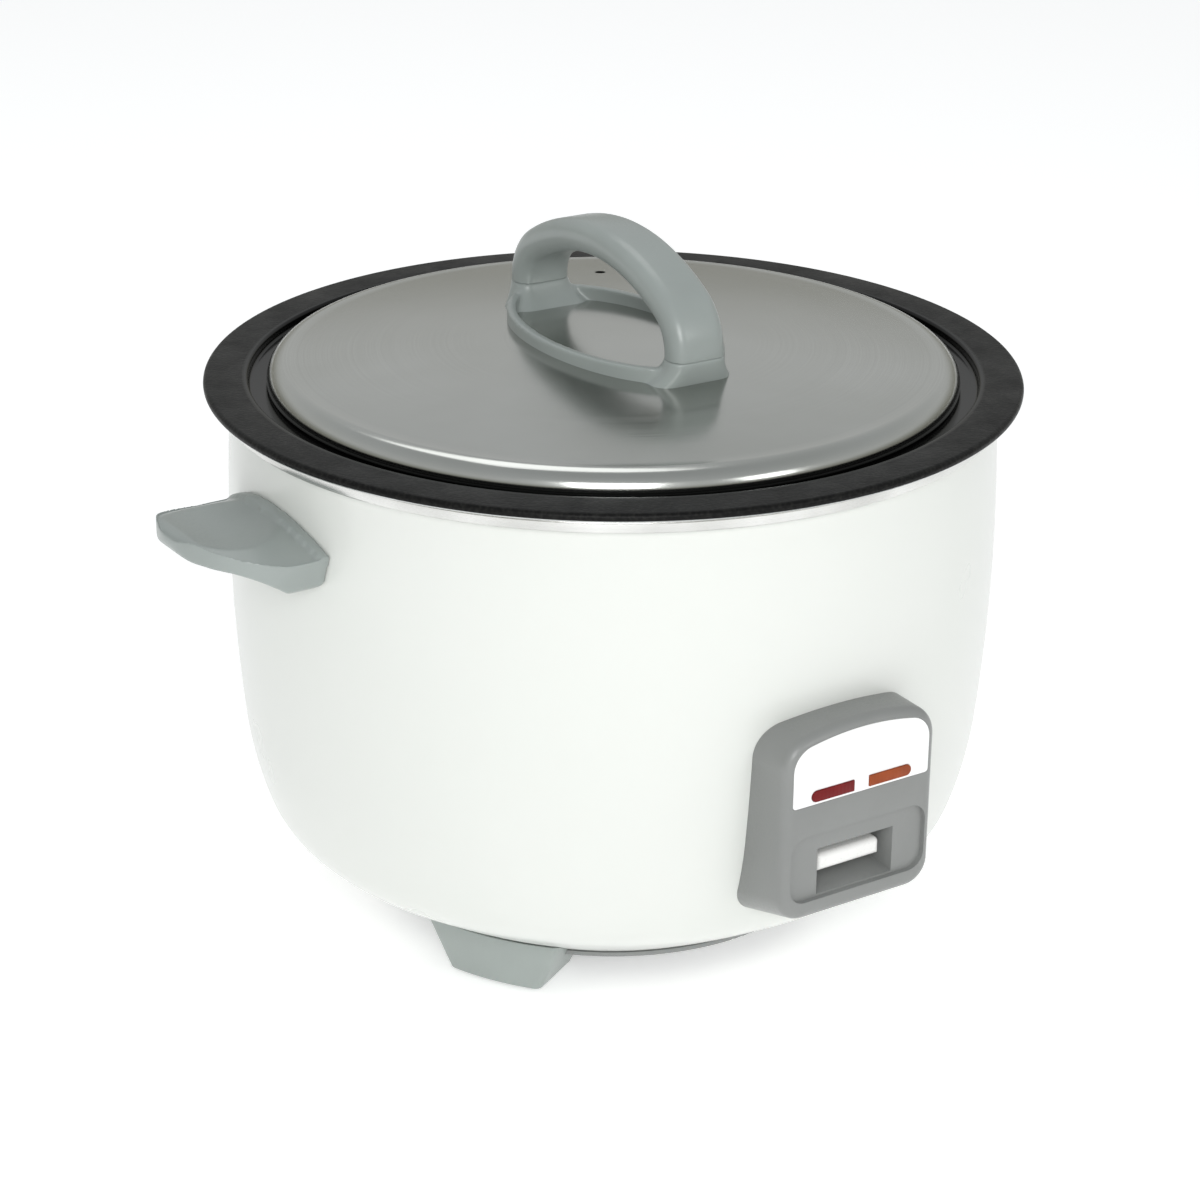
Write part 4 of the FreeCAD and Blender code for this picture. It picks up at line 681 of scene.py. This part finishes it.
# inner liner
linerSettings = {"outer": 0.1565, "inner": 0.1555, "floor": 0.045, "under": 0.044, "corner": 0.040,
                 "flangeTop": 0.2500, "flangeLow": 0.2490, "edge": 0.17115, "hole": 0.01665}


def makeLiner(settings):
    sheet = settings["outer"] - settings["inner"]
    heel = (settings["outer"] - settings["corner"], settings["under"] + settings["corner"])
    profile = [(settings["hole"], settings["floor"]), (settings["hole"], settings["under"])]
    profile += bend(heel, settings["corner"], -90, 0, 10)
    profile += [(settings["outer"], settings["flangeLow"]), (settings["edge"], settings["flangeLow"]),
                (settings["edge"], settings["flangeTop"]), (settings["inner"], settings["flangeTop"])]
    profile += bend(heel, settings["corner"] - sheet, 0, -90, 10)
    profile += [(settings["hole"], settings["floor"])]
    return finishPiece(spinPiece("innerLiner", profile, 144), "inner_liner")


makeLiner(linerSettings)
print("rim, pot and liner made")


# polished lid: shallow dome, turned-down shoulder and a rolled bead
lidSettings = {"radius": 0.1558, "seat": 0.2548, "bead": 0.0016, "shoulder": 0.1458, "shoulderTop": 0.2655,
               "crown": 0.2735, "knee": (0.1532, 0.26295), "sheet": 0.001,
               "arcSteps": 36, "ventRadius": 0.0026, "ventPlace": (0.056, 0.097), "ventDrill": 0.03,
               "fillerLow": 0.25}


def domeArc(settings, drop=0.0):
    # the dome from its crown to its shoulder
    steps = settings["arcSteps"]
    rise = settings["crown"] - settings["shoulderTop"]
    radius = (settings["shoulder"] ** 2 + rise ** 2) / (2 * rise)
    middle = settings["crown"] - radius
    points = []
    for step in range(steps + 1):
        away = settings["shoulder"] * step / steps
        points.append((away, middle + math.sqrt((radius - drop) ** 2 - away ** 2)))
    return points


def makeLid(settings):
    sheet, bead, seat = settings["sheet"], settings["bead"], settings["seat"]
    roll = (settings["radius"] - bead, seat + bead)
    top = domeArc(settings)
    knee = settings["knee"]
    brow = bendThrough(top[-1], knee, (settings["radius"], seat + 2 * bead), 12)
    under = domeArc(settings, sheet)
    inKnee = (knee[0] - 0.8 * sheet, knee[1] - 0.8 * sheet)
    inBrow = bendThrough(under[-1], inKnee, (settings["radius"] - sheet, seat + 2 * bead), 12)
    profile = top + brow[1:] + bend(roll, bead, 0, -235, 14) + inBrow[::-1] + under[-2::-1]
    lid = spinPiece("lidShell", profile, 216)
    bpy.ops.mesh.primitive_cylinder_add(vertices=32, radius=settings["ventRadius"],
                                        depth=settings["ventDrill"],
                                        location=(*settings["ventPlace"], settings["shoulderTop"]))
    cutAway(lid, bpy.context.object)
    return finishPiece(lid, "lid_shell", smoothAngle=40)


makeLid(lidSettings)
print("lid made")


# lid handle: a bow on two flared horns that grow out of an oval rail
handleSettings = {
    "seam": 0.283, "halfSpan": 0.0665, "crownTop": 0.3182, "crownRadius": 0.110, "cornerRadius": 0.022,
    "width": 0.027, "thickness": 0.015, "round": 0.0068, "roundSteps": 7, "turn": -2.0,
}


def bowSpine(settings):
    # (y, z, lean) along the grip's centre line from the front foot to the back one
    top = settings["crownTop"]
    middle = top - settings["crownRadius"]
    side = settings["halfSpan"] - settings["cornerRadius"]
    reach = settings["crownRadius"] - settings["cornerRadius"]
    cornerZ = middle + math.sqrt(reach ** 2 - side ** 2)
    lean = math.atan2(cornerZ - middle, side)
    points = [(-settings["halfSpan"], settings["seam"], 0.0)]
    for step in range(9):
        angle = lean * step / 8
        points.append((-side - settings["cornerRadius"] * math.cos(angle),
                       cornerZ + settings["cornerRadius"] * math.sin(angle), angle))
    for step in range(1, 29):
        angle = lean + (math.pi - 2 * lean) * step / 28
        points.append((-settings["crownRadius"] * math.cos(angle),
                       middle + settings["crownRadius"] * math.sin(angle), angle))
    for step in range(1, 9):
        angle = math.pi - lean + lean * step / 8
        points.append((side - settings["cornerRadius"] * math.cos(angle),
                       cornerZ + settings["cornerRadius"] * math.sin(angle), angle))
    points.append((settings["halfSpan"], settings["seam"], math.pi))
    return points


def makeGrip(settings):
    spine = bowSpine(settings)
    startFresh()
    bpy.ops.mesh.primitive_plane_add(size=1, location=(0, spine[0][0], spine[0][1]))
    grip = bpy.context.object
    grip.name = "lidGrip"
    grip.scale = (settings["width"], settings["thickness"], 1)
    bpy.ops.object.transform_apply(location=True, scale=True)
    bpy.ops.object.mode_set(mode="EDIT")
    bpy.ops.mesh.select_mode(type="VERT")
    bpy.ops.mesh.bevel(offset=settings["round"], segments=settings["roundSteps"], affect="VERTICES")
    here = spine[0]
    for point in spine[1:]:
        step = (0, point[0] - here[0], point[1] - here[1])
        bpy.ops.mesh.extrude_region_move(TRANSFORM_OT_translate={"value": step})
        bpy.ops.transform.rotate(value=point[2] - here[2], orient_axis="X",
                                 center_override=(0, point[0], point[1]))
        here = point
    closeMesh()
    bpy.ops.object.mode_set(mode="OBJECT")
    grip.rotation_euler.z = math.radians(settings["turn"])
    return finishPiece(grip, "lid_handle_grip", smoothAngle=50)


makeGrip(handleSettings)

hornSettings = {
    "ovalLength": 0.069, "ovalWidth": 0.039, "rail": 0.0042, "railTop": 0.2785, "low": 0.2665,
    "top": (0.0665, 0.2830, 0.027, 0.0150), "foot": (0.0545, 0.2665, 0.052, 0.026),
    "round": 0.0062, "roundSteps": 6, "steps": 9, "spread": 1.7, "voxel": 0.0008, "smooth": 9,
    "outline": (0.042, 0.0775, 0.1),
}


def makeOvalRail(settings):
    startFresh()
    bpy.ops.mesh.primitive_circle_add(vertices=128, radius=1, fill_type="NGON",
                                      location=(0, 0, settings["low"]))
    rail = bpy.context.object
    rail.name = "handleRail"
    rail.scale = (settings["ovalWidth"], settings["ovalLength"], 1)
    bpy.ops.object.transform_apply(location=True, scale=True)
    bpy.ops.object.mode_set(mode="EDIT")
    bpy.ops.mesh.select_mode(type="FACE")
    bpy.ops.mesh.select_all(action="SELECT")
    bpy.ops.mesh.inset(thickness=settings["rail"])
    bpy.ops.mesh.delete(type="FACE")
    bpy.ops.mesh.select_all(action="SELECT")
    bpy.ops.mesh.extrude_region_move(
        TRANSFORM_OT_translate={"value": (0, 0, settings["railTop"] - settings["low"])})
    closeMesh()
    bpy.ops.object.mode_set(mode="OBJECT")
    return rail


def makeHorn(settings, side):
    # a rounded block lofted down from the grip's seam, spreading as it nears the lid
    topY, topZ, topWide, topDeep = settings["top"]
    footZ = settings["foot"][1]
    startFresh()
    bpy.ops.mesh.primitive_plane_add(size=1, location=(0, side * topY, topZ))
    horn = bpy.context.object
    horn.name = "handleHorn"
    horn.scale = (topWide, topDeep, 1)
    bpy.ops.object.transform_apply(location=True, scale=True)
    bpy.ops.object.mode_set(mode="EDIT")
    bpy.ops.mesh.select_mode(type="VERT")
    bpy.ops.mesh.select_all(action="SELECT")
    bpy.ops.mesh.bevel(offset=settings["round"], segments=settings["roundSteps"], affect="VERTICES")
    place = (topY, topZ, topWide, topDeep)
    for step in range(1, settings["steps"] + 1):
        down = step / settings["steps"]
        ease = down ** settings["spread"]
        goal = [start + (end - start) * ease for start, end in zip(settings["top"], settings["foot"])]
        goal[1] = topZ + (footZ - topZ) * down
        move = (0, side * (goal[0] - place[0]), goal[1] - place[1])
        bpy.ops.mesh.extrude_region_move(TRANSFORM_OT_translate={"value": move})
        bpy.ops.transform.resize(value=(goal[2] / place[2], goal[3] / place[3], 1),
                                 center_override=(0, side * goal[0], goal[1]))
        place = goal
    closeMesh()
    bpy.ops.object.mode_set(mode="OBJECT")
    # its foot keeps within a long oval, like the bow of a boat
    bpy.ops.mesh.primitive_cylinder_add(vertices=96, radius=1, depth=1, location=(0, 0, footZ))
    outline = bpy.context.object
    outline.scale = settings["outline"]
    applyModifier(horn, "BOOLEAN", operation="INTERSECT", solver="EXACT", object=outline)
    bpy.data.objects.remove(outline)
    return horn


def joinPieces(pieces):
    startFresh()
    for piece in pieces:
        piece.select_set(True)
    bpy.context.view_layer.objects.active = pieces[0]
    bpy.ops.object.join()
    return pieces[0]


def meltTogether(piece, voxel, smooth):
    # one skin over the joined forms, with the moulding's soft inside corners
    applyModifier(piece, "REMESH", mode="VOXEL", voxel_size=voxel)
    applyModifier(piece, "SMOOTH", factor=0.5, iterations=smooth)


def makeHandleBase(settings):
    base = joinPieces([makeOvalRail(settings), makeHorn(settings, -1), makeHorn(settings, 1)])
    base.name = "lidHandleBase"
    meltTogether(base, settings["voxel"], settings["smooth"])
    base.rotation_euler.z = math.radians(handleSettings["turn"])
    dome = domeArc(lidSettings)
    low = lidSettings["fillerLow"]
    under = spinPiece("domeFiller", [(0, low), (dome[-1][0], low)] + dome[::-1], 96)
    cutAway(base, under)
    return finishPiece(base, "lid_handle_base", smoothAngle=60)


makeHandleBase(hornSettings)
print("lid handle made")


# side handles: a thick wing, dished behind the raised strip that hugs the drum
sideHandleSettings = {"strip": 0.1795, "gap": 0.00015, "voxel": 0.0008, "soften": 10, "settle": 5,
                      "dish": 0.0022}


def pickVerts(wanted):
    # selects the vertices of the mesh in edit mode whose place is wanted
    bpy.ops.mesh.select_mode(type="VERT")
    bpy.ops.mesh.select_all(action="DESELECT")
    bpy.ops.object.mode_set(mode="OBJECT")
    for vertex in bpy.context.object.data.vertices:
        vertex.select = wanted(vertex.co, vertex.normal)
    bpy.ops.object.mode_set(mode="EDIT")


def makeSideHandle(settings):
    handle = looseCopy("side_handle_right", "sideHandleRight")
    meltTogether(handle, settings["voxel"], settings["soften"])
    bpy.ops.object.mode_set(mode="EDIT")
    pickVerts(lambda co, normal: normal.z > 0.5 and math.hypot(co.x, co.y) > settings["strip"])
    bpy.ops.transform.translate(value=(0, 0, -settings["dish"]))
    bpy.ops.object.mode_set(mode="OBJECT")
    applyModifier(handle, "SMOOTH", factor=0.5, iterations=settings["settle"])
    cutAway(handle, drumFiller(drumSettings, settings["gap"]))
    return handle


def mirrorCopy(piece, name):
    other = piece.copy()
    other.data = piece.data.copy()
    other.name = name
    scene.collection.objects.link(other)
    startFresh()
    other.select_set(True)
    bpy.context.view_layer.objects.active = other
    bpy.ops.object.mode_set(mode="EDIT")
    bpy.ops.mesh.select_all(action="SELECT")
    bpy.ops.transform.resize(value=(-1, 1, 1), center_override=(0, 0, 0))
    bpy.ops.mesh.normals_make_consistent(inside=False)
    bpy.ops.object.mode_set(mode="OBJECT")
    return other


rightHandle = makeSideHandle(sideHandleSettings)
leftHandle = mirrorCopy(rightHandle, "sideHandleLeft")
finishPiece(rightHandle, "side_handle_right", smoothAngle=60)
finishPiece(leftHandle, "side_handle_left", smoothAngle=60)
print("side handles made")


# moulded parts whose form is the design's own, with their sharp edges eased
moulded = [
    {"node": "control_panel_housing", "name": "panelHousing", "edge": 0.0006},
    {"node": "indicator_faceplate", "name": "indicatorPlate", "edge": 0.0002},
    {"node": "cook_lamp_lens", "name": "cookLens", "edge": 0.0002},
    {"node": "warm_lamp_lens", "name": "warmLens", "edge": 0.0002},
    {"node": "switch_paddle", "name": "switchPaddle", "edge": 0.0004},
    {"node": "power_inlet_housing", "name": "inletHousing", "edge": 0.0004},
    {"node": "base_cover", "name": "baseCover", "edge": 0.0003},
    {"node": "front_left_foot", "name": "footFrontLeft", "edge": 0.0006},
    {"node": "front_right_foot", "name": "footFrontRight", "edge": 0.0006},
    {"node": "rear_foot", "name": "footRear", "edge": 0.0006},
]


def easedCopy(settings):
    piece = looseCopy(settings["node"], settings["name"])
    applyModifier(piece, "BEVEL", width=settings["edge"], segments=3, limit_method="ANGLE",
                  angle_limit=math.radians(35))
    return finishPiece(piece, settings["node"], smoothAngle=35)


for settings in moulded:
    easedCopy(settings)
print("moulded parts eased")
